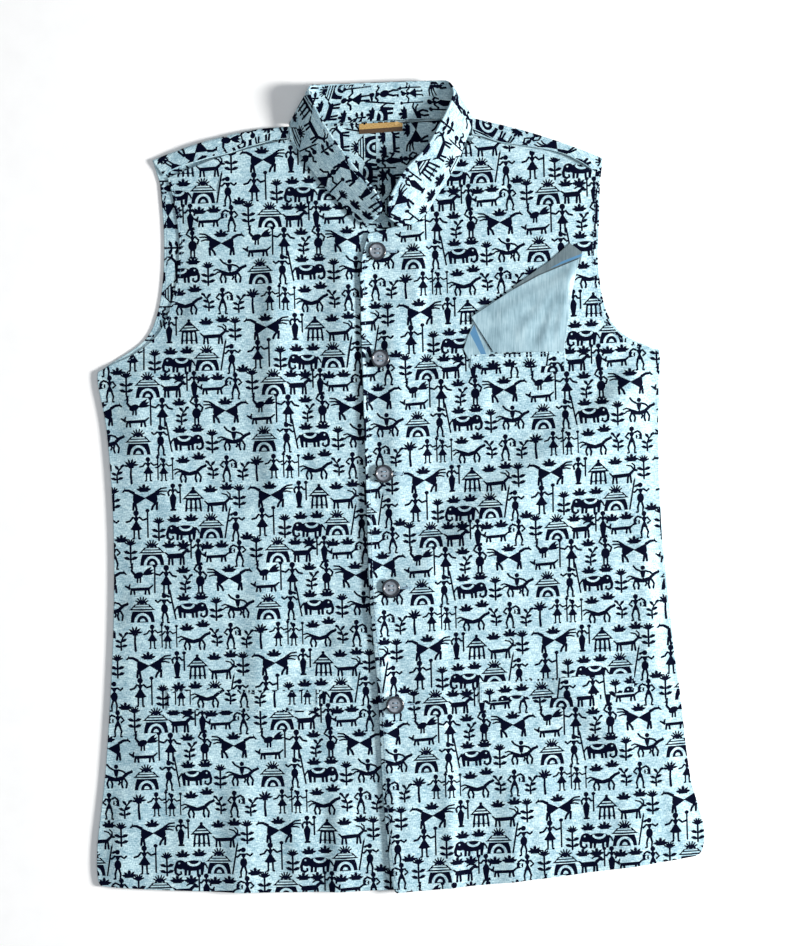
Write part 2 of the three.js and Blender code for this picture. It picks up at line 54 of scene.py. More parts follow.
MM = 0.001
CLOTH = 1.6               # jacket cloth with its fused backing
WELT_CLOTH = 1.2
COLLAR_CLOTH = 2.4
SQUARE_CLOTH = 0.9
LABEL_CLOTH = 0.8
SEAM_GAP = 0.3
LAP = 38.0                # how far the left front reaches over the right one
LAP_GAP = 0.6
LAP_EASE = 14.0
CROWN = 2.2               # height of the fronts above the back, away from the edges
EDGE_ROLL = 16.0          # width over which a front comes down to the back
EDGE_CURL = 2.4           # how far the left front's edge curls up along the buttons
EDGE_CURL_WIDTH = 7.0
BUTTON_DIP = 0.6          # how far a button's thread pulls the cloth down round it
BUTTON_DIP_WIDTH = 12.0
BUTTON_RADIUS = 8.5

# ---------------------------------------------------------------- outlines

Section = namedtuple("Section", "outer_x outer_y inner_x inner_y bow neck", defaults=(False,))

# The wearer's right front from hem to shoulder seam: side seam and armhole on the outer
# side, the visible centre line and then the neck seam on the inner one.
RIGHT_FRONT = (
    Section(-276.0, -376.0, -6.0, -376.5, -4.5),
    Section(-283.0, -371.0, -6.5, -371.0, -4.0),
    Section(-284.0, -337.0, -10.0, -337.0, 0.0),
    Section(-276.0, -262.0, -17.0, -262.0, 0.0),
    Section(-269.5, -145.0, -26.0, -145.0, 0.0),
    Section(-269.0, -42.0, -30.0, -42.0, 0.0),
    Section(-275.0, 48.0, -34.0, 48.0, 0.0),
    Section(-284.0, 100.0, -35.0, 94.0, 0.0),
    Section(-277.0, 110.5, -35.0, 106.0, 0.0),
    Section(-248.0, 125.0, -36.0, 124.0, 0.0),
    Section(-225.0, 146.0, -36.5, 148.0, 0.0),
    Section(-211.5, 184.0, -37.5, 185.0, 0.0),
    Section(-207.5, 222.0, -36.5, 222.0, 0.0),
    Section(-208.5, 240.0, -33.0, 239.0, 0.0),
    Section(-209.0, 246.0, -32.5, 242.5, 0.0, True),
    Section(-211.5, 260.0, -58.5, 270.0, 0.0, True),
    Section(-214.5, 276.0, -81.5, 298.0, 1.5, True),
    Section(-218.5, 289.0, -103.0, 325.0, 4.0, True),
)

# The left front, which laps over the right one.
LEFT_FRONT = (
    Section(277.0, -347.5, -3.0, -380.5, -3.5),
    Section(284.0, -341.0, -6.0, -376.0, -3.0),
    Section(285.0, -318.0, -9.5, -355.0, 0.0),
    Section(272.0, -269.0, -16.0, -289.0, 0.0),
    Section(262.5, -190.0, -21.0, -190.0, 0.0),
    Section(250.0, -102.0, -28.5, -102.0, 0.0),
    Section(243.5, 3.0, -32.0, 3.0, 0.0),
    Section(242.5, 86.0, -34.5, 86.0, 0.0),
    Section(244.0, 121.0, -35.5, 118.0, 0.0),
    Section(236.0, 129.0, -36.0, 128.0, 0.0),
    Section(208.5, 141.0, -36.5, 146.0, 0.0),
    Section(191.0, 165.0, -37.0, 170.0, 0.0),
    Section(184.0, 206.0, -37.0, 206.0, 0.0),
    Section(184.5, 236.0, -30.0, 236.0, 0.0),
    Section(184.5, 241.0, -13.0, 240.5, 0.0, True),
    Section(185.5, 252.0, 20.0, 252.5, 0.0, True),
    Section(186.0, 270.0, 34.5, 278.0, 0.0, True),
    Section(186.5, 283.0, 53.0, 307.0, 1.0, True),
    Section(187.4, 294.5, 69.0, 327.0, 2.0, True),
)

# The back's two sides from hem to armhole, ending a little below the shoulder folds.
BackSection = namedtuple("BackSection", "right_x right_y left_x left_y")
BACK = (
    BackSection(-276.0, -372.0, 276.0, -344.0),
    BackSection(-283.0, -366.0, 284.0, -337.0),
    BackSection(-284.3, -337.0, 285.3, -318.0),
    BackSection(-276.3, -262.0, 271.8, -267.0),
    BackSection(-269.8, -145.0, 257.0, -145.0),
    BackSection(-269.3, -42.0, 246.5, -42.0),
    BackSection(-275.3, 48.0, 243.3, 48.0),
    BackSection(-284.3, 100.0, 244.5, 121.0),
    BackSection(-277.5, 111.0, 236.5, 129.8),
    BackSection(-241.0, 136.0, 209.5, 143.0),
    BackSection(-228.0, 162.0, 193.5, 166.0),
    BackSection(-222.5, 198.0, 186.5, 206.0),
    BackSection(-222.0, 240.0, 187.0, 240.0),
    BackSection(-225.5, 284.0, 188.0, 284.0),
)
BACK_HEM_BOW = -17.0

RIGHT_SHOULDER_FOLD = ((-230, 307), (-190, 321.5), (-142, 333.5), (-104, 337.5))
LEFT_SHOULDER_FOLD = ((188.6, 308.5), (160, 319.5), (117, 333.5), (70, 345))
BACK_NECK = ((-103, 336), (-86, 339.5), (-38, 344), (2, 347.5), (34, 348.8), (68, 345.5))

# Soft folds: ridges from one end to the other. `reach` is the distance to half height on
# the gentle side and `steep` on the sharp side, which is to the right of the way it runs.
Fold = namedtuple("Fold", "x0 y0 x1 y1 reach steep rise")
MAIN_FOLDS = (
    Fold(-116, 215, -118, -8, 18, 15, 5.2),
    Fold(-128, -60, -132, -215, 18, 14, 3.0),
    Fold(-148, -280, -151, -400, 20, 14, 4.2),
    Fold(-54, 235, -50, 118, 14, 16, 3.8),
    Fold(-275, -128, -150, -80, 18, 12, 3.0),
    Fold(-56, -285, -56, -400, 14, 13, 3.2),
    Fold(226, 98, 60, -48, 34, 22, 6.8),
    Fold(78, -36, -50, -150, 26, 18, 4.0),
    Fold(233, -30, 238, -178, 14, 14, 3.2),
    Fold(148, -176, 216, -252, 20, 14, 3.6),
    Fold(106, -268, 108, -400, 16, 13, 3.2),
    Fold(212, -290, 222, -400, 18, 13, 2.2),
    Fold(-6, 165, -4, -34, 16, 12, 3.0),
    Fold(-250, 112, -244, 26, 24, 13, 2.4),
    Fold(-262, -290, -268, -400, 14, 12, 2.0),
)

# Smaller creases that the CAD leaves out: troughs have a negative rise.
SMALL_FOLDS = (
    Fold(-210, 292, -92, 258, 14, 8, -1.5),
    Fold(-196, 262, -120, 232, 12, 7, -0.8),
    Fold(-196, 172, -184, 96, 14, 9, 1.5),
    Fold(-238, 132, -196, 178, 10, 7, -1.7),
    Fold(-206, 28, -150, -22, 11, 7, -1.2),
    Fold(-246, 10, -200, -40, 12, 8, 0.8),
    Fold(-92, 196, -88, 60, 9, 6, -1.0),
    Fold(-78, 62, -70, -40, 12, 8, 1.2),
    Fold(-66, -140, -98, -172, 10, 7, -1.4),
    Fold(-84, -190, -78, -250, 9, 6, -1.2),
    Fold(-104, -250, -96, -372, 12, 8, 1.5),
    Fold(-236, -210, -246, -330, 15, 9, 1.5),
    Fold(-196, -250, -204, -372, 16, 10, 1.2),
    Fold(-70, -300, -74, -384, 8, 6, -1.2),
    Fold(16, 236, 14, 150, 12, 8, 1.0),
    Fold(40, 190, 34, 60, 18, 11, 1.2),
    Fold(92, 104, 86, 58, 10, 7, -1.4),
    Fold(212, 130, 176, 70, 12, 8, -2.0),
    Fold(186, 286, 176, 262, 9, 7, -1.4),
    Fold(104, 300, 96, 262, 12, 8, -0.8),
    Fold(150, 40, 232, -6, 16, 10, 0.8),
    Fold(120, -40, 208, -104, 18, 11, 1.2),
    Fold(-12, -158, 14, -210, 11, 7, -1.5),
    Fold(24, -120, 60, -190, 14, 9, 1.0),
    Fold(8, -262, 6, -384, 12, 8, 1.7),
    Fold(44, -270, 50, -380, 11, 7, 1.4),
    Fold(128, -250, 136, -372, 12, 8, 1.5),
    Fold(168, -296, 176, -368, 10, 7, -1.0),
    Fold(248, -232, 262, -330, 14, 8, 1.4),
)

# The collar from the wearer's right front end round to the left one: where its lower
# edge is sewn on and where its free edge stands.
Station = namedtuple("Station", "seam_x seam_y seam_z edge_x edge_y edge_z")
COLLAR = (
    Station(-30.0, 244.5, 8.4, -20.5, 250.5, 13.0),
    Station(-35.5, 246.5, 8.4, -16.4, 259.0, 22.0),
    Station(-46.0, 256.0, 8.4, -22.6, 273.5, 24.0),
    Station(-61.5, 271.5, 8.4, -38.0, 291.5, 24.0),
    Station(-84.0, 299.0, 8.4, -56.0, 314.5, 24.0),
    Station(-95.5, 319.0, 8.4, -68.5, 333.5, 24.0),
    Station(-100.5, 332.5, 8.0, -77.5, 349.5, 23.5),
    Station(-102.5, 339.5, 5.8, -83.5, 365.5, 21.0),
    Station(-100.0, 341.0, 2.6, -82.5, 373.0, 16.0),
    Station(-88.0, 338.0, 1.3, -74.0, 374.5, 12.0),
    Station(-58.0, 340.5, 1.3, -48.0, 376.0, 10.0),
    Station(-20.0, 343.5, 1.3, -15.0, 377.5, 9.5),
    Station(20.0, 346.0, 1.3, 16.0, 378.5, 10.0),
    Station(50.0, 345.5, 1.3, 35.0, 378.5, 12.0),
    Station(63.5, 348.0, 2.6, 44.5, 376.5, 15.5),
    Station(66.8, 345.0, 5.8, 49.0, 367.0, 19.0),
    Station(65.0, 335.0, 8.2, 46.5, 356.0, 20.5),
    Station(59.5, 321.5, 8.6, 37.0, 337.0, 20.5),
    Station(51.5, 301.5, 8.6, 23.5, 314.0, 20.5),
    Station(35.0, 274.5, 8.6, 5.5, 295.0, 20.5),
    Station(22.0, 254.5, 9.0, -6.5, 275.0, 20.0),
    Station(10.0, 246.0, 9.4, -11.8, 261.0, 18.5),
    Station(-1.0, 242.5, 9.6, -11.0, 249.5, 14.0),
)

WELTS = {
    "breast_welt": ("left", ((65.5, 110.5), (156, 113), (154.5, 127), (66.5, 123))),
    "lower_welt_right": ("right", ((-218, -210), (-76, -210.5), (-76, -191), (-218, -190.5))),
    "lower_welt_left": ("left", ((74.5, -203), (219, -193), (219, -175), (74.5, -184))),
}
BUTTONS = ((-21.3, 219.5), (-18.5, 119.0), (-15.1, 11.5), (-8.3, -95.0), (-4.5, -204.5))
LABEL = ((-38.5, 330.3), (2.4, 333.3), (2.4, 343.8), (-38.5, 340.8))


def plan_shift():
    """From the jacket's own plan to the frame, which the CAD centred: measured on a button."""
    low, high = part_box("button_3")
    middle = (np.array(low[:2]) + np.array(high[:2])) / 2 / MM
    return np.append(middle - BUTTONS[2], 0.0)


SHIFT = plan_shift()

# ---------------------------------------------------------------- curves and distances


def smooth(t):
    t = np.clip(t, 0.0, 1.0)
    return t * t * (3 - 2 * t)


def spline(rows, positions):
    """Catmull-Rom through the rows of an array, at positions counted in rows."""
    rows = np.asarray(rows, float)
    last = len(rows) - 1
    i = np.clip(np.floor(positions).astype(int), 0, last - 1)
    t = (positions - i)[:, None]
    p0, p1, p2, p3 = (rows[np.clip(i + k, 0, last)] for k in (-1, 0, 1, 2))
    a = 2 * p0 - 5 * p1 + 4 * p2 - p3
    b = 3 * p1 - p0 - 3 * p2 + p3
    return 0.5 * (2 * p1 + (p2 - p0) * t + a * t ** 2 + b * t ** 3)


def smooth_line(rows, steps=8):
    rows = np.asarray(rows, float)
    return spline(rows, np.linspace(0, len(rows) - 1, (len(rows) - 1) * steps + 1))


def spaced(line, step):
    """The same line with points about `step` apart."""
    lengths = np.append(0, np.cumsum(np.linalg.norm(np.diff(line, axis=0), axis=1)))
    count = max(1, round(lengths[-1] / step))
    at = np.linspace(0, lengths[-1], count + 1)
    return np.stack([np.interp(at, lengths, line[:, k]) for k in range(line.shape[1])], 1)


def nearest_on(line, points):
    """Distance from each point to a polyline, and where along it the nearest place is."""
    start, step = line[:-1], np.diff(line, axis=0)
    size = (step ** 2).sum(1)
    best = np.full(len(points), np.inf)
    along = np.zeros(len(points))
    for k in range(len(start)):
        t = np.clip((points - start[k]) @ step[k] / size[k], 0, 1)
        gap = np.hypot(*(points - start[k] - t[:, None] * step[k]).T)
        closer = gap < best
        best[closer] = gap[closer]
        along[closer] = (k + t)[closer]
    return best, along


def signed_area(loop):
    x, y = loop.T
    return 0.5 * (x @ np.roll(y, -1) - np.roll(x, -1) @ y)


def counter_clockwise(loop):
    return loop if signed_area(loop) > 0 else loop[::-1]


def inside(loop, points):
    x, y = points.T
    odd = np.zeros(len(points), bool)
    for (x0, y0), (x1, y1) in zip(loop, np.roll(loop, -1, axis=0)):
        if y0 == y1:
            continue
        crosses = ((y0 > y) != (y1 > y)) & (x < (x1 - x0) * (y - y0) / (y1 - y0) + x0)
        odd ^= crosses
    return odd


def outward(loop):
    """Unit normals of a counter-clockwise loop that point out of it."""
    before = loop - np.roll(loop, 1, axis=0)
    after = np.roll(loop, -1, axis=0) - loop
    along = sum(side / np.linalg.norm(side, axis=1)[:, None] for side in (before, after))
    along /= np.maximum(np.linalg.norm(along, axis=1), 1e-9)[:, None]
    return np.stack([along[:, 1], -along[:, 0]], 1)


def corner_loop(corners, step=2.5):
    """A closed loop with straight sides, with points about `step` apart."""
    closed = np.array(corners + corners[:1], float)
    sides = [spaced(closed[i:i + 2], step)[:-1] for i in range(len(corners))]
    return np.vstack(sides)


# ---------------------------------------------------------------- heights of the fronts


def fold_rise(fold, x, y):
    """How far one fold lifts the cloth: a soft ridge that fades out at both ends."""
    dx, dy = fold.x1 - fold.x0, fold.y1 - fold.y0
    length = math.hypot(dx, dy)
    along = ((x - fold.x0) * dx + (y - fold.y0) * dy) / length ** 2
    across = ((x - fold.x0) * dy - (y - fold.y0) * dx) / length
    width = np.where(across > 0, fold.steep, fold.reach)
    ends = smooth(along / 0.25 + 0.5) * smooth((1 - along) / 0.25 + 0.5)
    return fold.rise * ends * np.exp(-((across / width) ** 2))


OUTER_LINES = {
    "right": smooth_line([s[:2] for s in RIGHT_FRONT], 4),
    "left": smooth_line([s[:2] for s in LEFT_FRONT], 4),
}


# Length, direction, phase and rise of each wave.
RIPPLES = ((61, 12, 0.4, 0.22), (43, 97, 1.9, 0.16), (29, 41, 3.1, 0.1), (23, 150, 5.0, 0.08))


def ripple(x, y):
    """A faint unevenness over the whole cloth, from a few crossing waves."""
    total = np.zeros_like(x)
    for step, turn, phase, rise in RIPPLES:
        a = math.radians(turn)
        along = x * math.cos(a) + y * math.sin(a)
        across = y * math.cos(a) - x * math.sin(a)
        wave = np.sin(2 * math.pi * along / step + phase)
        total += rise * wave * np.sin(2 * math.pi * across / (step * 1.7) + phase * 2)
    return total


def closing_edge(y):
    """Where the left front's edge lies across the jacket: it leans, as the fronts do."""
    return -4 - 33 * smooth((y + 400) / 520)


def lap_lift(x, y):
    past = (x - closing_edge(y) - LAP - LAP_EASE) / LAP_EASE
    return (CLOTH + LAP_GAP) * (1 - smooth(past))


def front_height(side, points):
    """Middle of the wall of a front above the surface that the jacket lies on."""
    x, y = points.T
    gap, _ = nearest_on(OUTER_LINES[side], points)
    rise = sum(fold_rise(fold, x, y) for fold in MAIN_FOLDS + SMALL_FOLDS) + ripple(x, y)
    height = CLOTH + SEAM_GAP + (1 - np.exp(-((gap / EDGE_ROLL) ** 2))) * np.maximum(CROWN + rise, 0.2)
    if side == "left":
        curl = EDGE_CURL * np.exp(-(((x - closing_edge(y)) / EDGE_CURL_WIDTH) ** 2))
        height = height + lap_lift(x, y) + curl
    return height + CLOTH / 2 - sum(button_dimple(x, y, *place) for place in BUTTONS)


def button_dimple(x, y, button_x, button_y):
    gap = (x - button_x) ** 2 + (y - button_y) ** 2
    return BUTTON_DIP * np.exp(-gap / BUTTON_DIP_WIDTH ** 2)


def on_front(side, lift=0.0):
    """The surface of a front, or of something `lift` above it."""
    return lambda points: np.column_stack([points, front_height(side, points) + lift])


def front_outline(sections):
    outer = smooth_line([s[:2] for s in sections])
    edge = smooth_line([s[2:4] for s in sections if not s.neck])
    neck = smooth_line([s[2:4] for s in sections if s.neck])
    if sections is RIGHT_FRONT:
        edge = edge + (LAP, 0)
    t = np.linspace(0, 1, 60)[:, None]
    bow = np.hstack([0 * t, 4 * t * (1 - t)])
    hem = outer[0] * (1 - t) + edge[0] * t + bow * sections[0].bow
    shoulder = neck[-1] * (1 - t) + outer[-1] * t + bow * sections[-1].bow
    lines = (hem, edge, np.vstack([edge[-1:], neck[:1]]), neck, shoulder, outer[::-1])
    return counter_clockwise(np.vstack([spaced(line, 2.5)[:-1] for line in lines]))

# ---------------------------------------------------------------- print figures
# The cloth is printed with folk figures in the triangle-and-stroke village style. Each
# figure is a list of marks: a polygon in millimetres and whether it is inked. Its base
# is at y = 0 and its middle at x = 0. A later mark covers an earlier one.

Mark = namedtuple("Mark", "points inked")
INK_SPREAD = 0.75
FIGURE_SIZE = 1.09


def area(*points):
    return Mark(np.array(points, float), True)


def clear(mark):
    return Mark(mark.points, False)


def disc(x, y, rx, ry=None, turn=0.0, sides=12):
    angles = np.arange(sides) * 2 * math.pi / sides
    px = rx * np.cos(angles)
    py = (ry or rx) * np.sin(angles)
    c, s = math.cos(math.radians(turn)), math.sin(math.radians(turn))
    return Mark(np.stack([x + c * px - s * py, y + s * px + c * py], 1), True)


def dome(x, y, rx, ry, sides=12):
    angles = np.linspace(0, math.pi, sides)
    return Mark(np.stack([x + rx * np.cos(angles), y + ry * np.sin(angles)], 1), True)


def band(points, width, end=None):
    """A stroke through the points, from one width to the other, as the ink spreads it."""
    p = np.array(points, float)
    steps = np.diff(p, axis=0)
    steps /= np.linalg.norm(steps, axis=1)[:, None]
    along = np.vstack([steps[:1], steps[:-1] + steps[1:], steps[-1:]])
    along /= np.linalg.norm(along, axis=1)[:, None]
    side = np.stack([-along[:, 1], along[:, 0]], 1)
    half = (np.linspace(width, width if end is None else end, len(p))[:, None] + INK_SPREAD) / 2
    tip = p[-1] + along[-1] * half[-1] * 0.8
    tail = p[0] - along[0] * half[0] * 0.8
    return Mark(np.vstack([p - side * half, tip, (p + side * half)[::-1], tail]), True)


def arc(x, y, rx, ry, start, stop, steps=8):
    angles = np.radians(np.linspace(start, stop, steps))
    return list(zip(x + rx * np.cos(angles), y + ry * np.sin(angles)))


def leaf(x, y, length, turn, fat=0.34):
    """A leaf or petal that grows from (x, y) in the direction `turn`."""
    c, s = math.cos(math.radians(turn)), math.sin(math.radians(turn))
    outline = [(0, 0), (0.3, fat * 0.8), (0.62, fat), (1, 0.06), (0.7, -fat * 0.45), (0.3, -fat * 0.4)]
    points = [(x + length * (c * u - s * v), y + length * (s * u + c * v)) for u, v in outline]
    return Mark(np.array(points), True)


def rays(x, y, length, directions, width=1.0):
    marks = []
    for turn in directions:
        a = math.radians(turn)
        tip = (x + length * math.cos(a), y + length * math.sin(a))
        marks.append(band([(x, y), tip], width, width * 0.35))
    return marks


def limbs(*joints, width=1.15):
    return [band(points, width) for points in joints]


def staff(x, top, foot=0.5, knob=1.9, lean=0.0):
    return [band([(x + lean, foot), (x, top)], 0.75), disc(x, top + knob * 0.6, knob, knob * 0.85)]


def dancer(hair=False):
    marks = [
        disc(0, 22.4, 2.5, 2.6),
        band([(0, 20.8), (0, 18.9)], 1.3),
        area((-3.1, 19.3), (0, 18.7), (3.1, 19.3), (0.7, 14.6), (-0.7, 14.6)),
        area((-0.8, 15.3), (0.8, 15.3), (3.0, 11.6), (5.3, 8.4), (2.7, 7.5),
             (0, 7.3), (-2.7, 7.5), (-5.3, 8.4), (-3.0, 11.6)),
    ]
    marks += limbs(
        [(-1.9, 8.4), (-2.0, 0.6), (-3.2, 0.3)],
        [(1.9, 8.4), (2.1, 0.6), (3.3, 0.3)],
        [(-2.7, 18.9), (-5.3, 15.6), (-8.8, 14.7)],
        [(2.7, 18.9), (5.7, 16.3), (9.4, 17.4)],
    )
    if hair:
        marks.append(disc(-2.3, 24.3, 1.5))
    return marks + staff(9.9, 23.2, 1.2)


def water_carrier():
    marks = [
        disc(0, 21.6, 2.1, 2.3),
        area((-2.6, 24.0), (2.6, 24.0), (1.8, 26.6), (-1.8, 26.6)),
        band([(0, 20.0), (0, 18.4)], 1.2),
        area((-2.7, 18.8), (2.7, 18.8), (0.6, 14.4), (-0.6, 14.4)),
        disc(0, 10.6, 3.9, 4.6),
    ]
    return marks + limbs(
        [(-1.4, 7.4), (-1.6, 0.4), (-2.8, 0.2)],
        [(1.4, 7.4), (1.6, 0.4), (2.8, 0.2)],
        [(-2.3, 18.4), (-5.2, 20.6), (-3.0, 24.2)],
        [(2.3, 18.4), (5.4, 15.4), (4.2, 12.0)],
    )


def hunter():
    marks = [
        disc(1.0, 23.4, 2.2),
        leaf(0.2, 24.6, 5.4, 205, 0.3),
        area((-1.7, 20.4), (4.0, 20.4), (1.7, 15.9), (0.6, 15.9)),
        disc(1.1, 12.4, 3.1, 4.2),
        band([(-8.3, 3.0), (-3.9, 28.0)], 0.75),
        area((-4.8, 27.0), (-3.0, 26.6), (-3.2, 31.0)),
    ]
    return marks + limbs(
        [(0.2, 9.4), (-1.4, 4.6), (-1.2, 0.4), (-2.6, 0.2)],
        [(2.0, 9.4), (3.3, 4.6), (2.8, 0.4), (4.2, 0.2)],
        [(-1.3, 20.0), (-4.0, 17.4), (-5.6, 18.0)],
        [(3.6, 20.0), (6.6, 18.0), (8.6, 19.8)],
    )


def slim_girl():
    marks = [
        disc(0, 21.2, 2.2, 2.1),
        area((-2.4, 18.3), (2.4, 18.3), (0.6, 14.6), (-0.6, 14.6)),
        band([(0, 19.6), (0, 18.0)], 1.1),
        area((-0.7, 15.0), (0.7, 15.0), (3.0, 11.2), (2.5, 7.2),
             (1.3, 0.4), (-1.3, 0.4), (-2.5, 7.2), (-3.0, 11.2)),
        band([(-2.1, 0.5), (2.3, 0.5)], 1.0),
    ]
    marks += limbs(
        [(-2.0, 17.9), (-4.2, 15.8), (-3.4, 12.8)],
        [(2.0, 17.9), (4.2, 15.4), (6.0, 15.6)],
    )
    return marks + staff(6.2, 20.4, 6.4, 1.8)


def drummer():
    marks = [
        disc(0, 20.6, 2.2),
        area((-2.9, 17.8), (2.9, 17.8), (0.7, 13.4), (-0.7, 13.4)),
        area((-0.7, 14.2), (0.7, 14.2), (3.1, 8.8), (-3.1, 8.8)),
        area((3.6, 15.4), (9.2, 16.6), (9.2, 11.0), (3.6, 12.2)),
        clear(band([(5.4, 15.2), (6.2, 13.6), (5.4, 12.6)], 0.6)),
        band([(0, 19.0), (0, 17.4)], 1.2),
    ]
    return marks + limbs(
        [(-1.6, 9.2), (-3.2, 4.8), (-2.2, 0.4), (-3.6, 0.2)],
        [(1.6, 9.2), (2.8, 4.8), (2.4, 0.4), (3.8, 0.2)],
        [(-2.6, 17.4), (-5.4, 14.2), (-2.8, 12.2)],
        [(2.6, 17.4), (5.2, 18.6), (7.8, 16.8)],
    )


def couple():
    small = [scaled(dancer(), 0.84, -6.0), scaled(dancer(True), 0.78, 7.2)]
    return small[0] + small[1]


def hut():
    marks = [
        area((-10.4, 0), (10.4, 0), (9.7, 5.2), (8.3, 9.6), (-8.3, 9.6), (-9.7, 5.2)),
        area((-11.6, 10.6), (0, 10.2), (11.6, 10.6), (9.4, 12.2),
             (6.4, 15.6), (-6.4, 15.6), (-9.4, 12.2)),
        clear(area((-8.4, 11.7), (8.4, 11.7), (7.4, 12.9), (-7.4, 12.9))),
        clear(area((-6.2, 13.9), (6.2, 13.9), (5.0, 15.0), (-5.0, 15.0))),
        dome(0, 15.4, 4.6, 3.2),
        clear(dome(0, 0.0, 7.2, 8.2)),
        dome(0, 0.0, 4.9, 6.2),
    ]
    marks += [clear(dome(0, 0.9, 2.2, 2.6)), clear(dome(0, 15.5, 2.5, 1.5))]
    return marks + rays(0, 15.8, 6.2, (28, 52, 76, 104, 128, 152), 1.1)


def granary():
    marks = [
        area((-7.4, 2.0), (7.4, 2.0), (6.2, 10.6), (-6.2, 10.6)),
        area((-9.6, 10.2), (9.6, 10.2), (1.2, 18.6), (-1.2, 18.6)),
        clear(area((-6.6, 11.6), (6.6, 11.6), (5.4, 12.8), (-5.4, 12.8))),
        clear(area((-4.2, 14.0), (4.2, 14.0), (3.2, 15.0), (-3.2, 15.0))),
        disc(0, 19.6, 1.4),
    ]
    for x in (-4.2, 0.0, 4.2):
        marks.append(clear(band([(x, 3.4), (x * 0.9, 8.8)], 1.3)))
    return marks + limbs(*([(x, 2.4), (x * 1.1, 0)] for x in (-6, -2, 2, 6)))


def elephant():
    marks = [
        Mark(np.array(arc(1.6, 8.4, 10.6, 4.6, 182, 360, 8) + arc(2.4, 8.6, 9.8, 4.4, 5, 178, 12)), True),
        disc(-8.4, 9.4, 4.7, 4.1),
        band([(-11.6, 9.2), (-13.0, 5.6), (-12.6, 2.2), (-10.2, 0.6), (-7.8, 1.8), (-8.2, 3.6)],
             2.2, 1.1),
        area((-5.2, 6.2), (-2.6, 6.2), (-3.2, 0), (-5.4, 0)),
        area((-1.8, 6.2), (0.6, 6.2), (0.0, 0), (-2.2, 0)),
        area((5.0, 6.2), (7.4, 6.2), (7.2, 0), (5.2, 0)),
        area((8.6, 7.2), (12.0, 7.6), (10.8, 0), (8.6, 0)),
        band([(11.4, 10.6), (13.6, 8.2), (14.6, 5.8)], 1.0, 0.6),
        clear(disc(-9.4, 10.6, 0.75)),
        clear(band(arc(3.0, 12.2, 5.2, 3.6, 195, 345), 1.1)),
    ]
    return marks


def stallion():
    marks = [
        area((-10.2, 15.4), (0.6, 10.2), (-9.0, 4.4), (-10.8, 8.8)),
        area((-0.6, 10.6), (9.8, 16.2), (10.8, 9.0), (8.8, 4.8)),
        band([(-9.6, 14.6), (-14.0, 17.0), (-18.2, 17.2)], 2.0, 1.2),
        area((-17.4, 19.8), (-18.2, 18.0), (-20.6, 15.6), (-18.8, 15.2), (-16.8, 17.0)),
        band([(9.0, 15.0), (13.6, 18.2), (18.4, 18.8)], 1.2, 0.6),
        band([(9.4, 14.2), (14.0, 16.0), (18.6, 15.8)], 1.1, 0.5),
        band([(9.6, 13.2), (13.6, 13.6), (17.2, 12.6)], 1.0, 0.5),
    ]
    return marks + limbs(
        [(-10.0, 6.4), (-10.6, 0.2)],
        [(-8.6, 5.6), (-7.6, 0.2)],
        [(8.8, 6.0), (6.4, 3.0), (5.4, 0.2)],
        [(10.2, 6.6), (9.8, 0.2)],
        width=1.35,
    )


def pony():
    marks = [
        area((-8.6, 11.4), (-1.0, 8.8), (6.6, 11.0), (7.4, 7.4), (0, 5.6), (-7.8, 6.2)),
        band([(5.8, 9.8), (9.6, 12.8), (13.4, 14.2)], 2.2, 1.6),
        band([(-8.0, 10.4), (-11.6, 11.8), (-14.6, 10.8)], 1.0, 0.5),
        band([(-8.0, 9.6), (-11.2, 9.2), (-13.6, 7.2)], 1.0, 0.5),
        area((12.2, 14.4), (12.6, 16.2), (13.8, 14.8)),
    ]
    return marks + limbs(
        [(-7.4, 7.4), (-8.8, 3.8), (-7.6, 0.2)],
        [(-5.4, 7.0), (-4.0, 3.4), (-4.6, 0.2)],
        [(4.6, 7.0), (4.0, 3.4), (5.0, 0.2)],
        [(6.6, 8.0), (8.8, 4.4), (8.0, 0.2)],
    )


def ram():
    marks = [
        area((-8.2, 9.6), (5.2, 10.2), (6.0, 5.8), (-7.2, 5.2), (-9.4, 6.8)),
        band([(4.6, 9.4), (7.4, 11.8), (10.4, 11.2)], 2.4, 1.6),
        band(arc(5.0, 10.6, 4.6, 3.6, 30, 150), 1.5, 0.6),
        band([(-8.4, 9.0), (-10.6, 10.8)], 1.1, 0.6),
    ]
    return marks + limbs(
        [(-7.2, 6.2), (-7.6, 0.2)], [(-4.8, 6.0), (-4.4, 0.2)],
        [(2.8, 6.2), (2.4, 0.2)], [(5.0, 6.4), (5.4, 0.2)],
        width=1.3,
    )


def deer():
    marks = [
        area((-8.6, 7.8), (6.6, 8.6), (7.2, 5.6), (-2.0, 4.8), (-8.2, 4.8), (-9.8, 6.2)),
        band([(6.2, 7.6), (9.6, 10.8), (12.6, 10.6)], 1.9, 1.2),
        band([(9.8, 11.2), (7.4, 14.4), (3.4, 15.4)], 0.9, 0.5),
        band([(10.4, 11.4), (10.4, 14.8), (8.0, 17.0)], 0.9, 0.5),
        band([(-9.2, 7.2), (-11.4, 9.2)], 0.9, 0.5),
    ]
    return marks + limbs(
        [(-8.0, 5.6), (-8.6, 0.2)], [(-5.6, 5.4), (-5.0, 0.2)],
        [(4.6, 6.0), (4.0, 0.2)], [(6.4, 6.4), (7.2, 0.2)],
    )


def hound():
    marks = [
        area((-8.4, 5.6), (8.4, 6.2), (8.8, 3.4), (-8.0, 3.0)),
        area((-8.0, 6.4), (-12.8, 8.2), (-13.2, 7.0), (-8.6, 3.6)),
        band([(-9.2, 6.8), (-8.4, 8.8)], 1.0, 0.6),
        band([(8.2, 5.2), (11.4, 7.8)], 1.2, 0.6),
    ]
    return marks + limbs(
        [(-7.2, 3.8), (-7.8, 0.2)], [(-5.0, 3.8), (-4.4, 0.2)],
        [(5.2, 3.8), (4.8, 0.2)], [(7.6, 3.8), (8.4, 0.2)],
    )


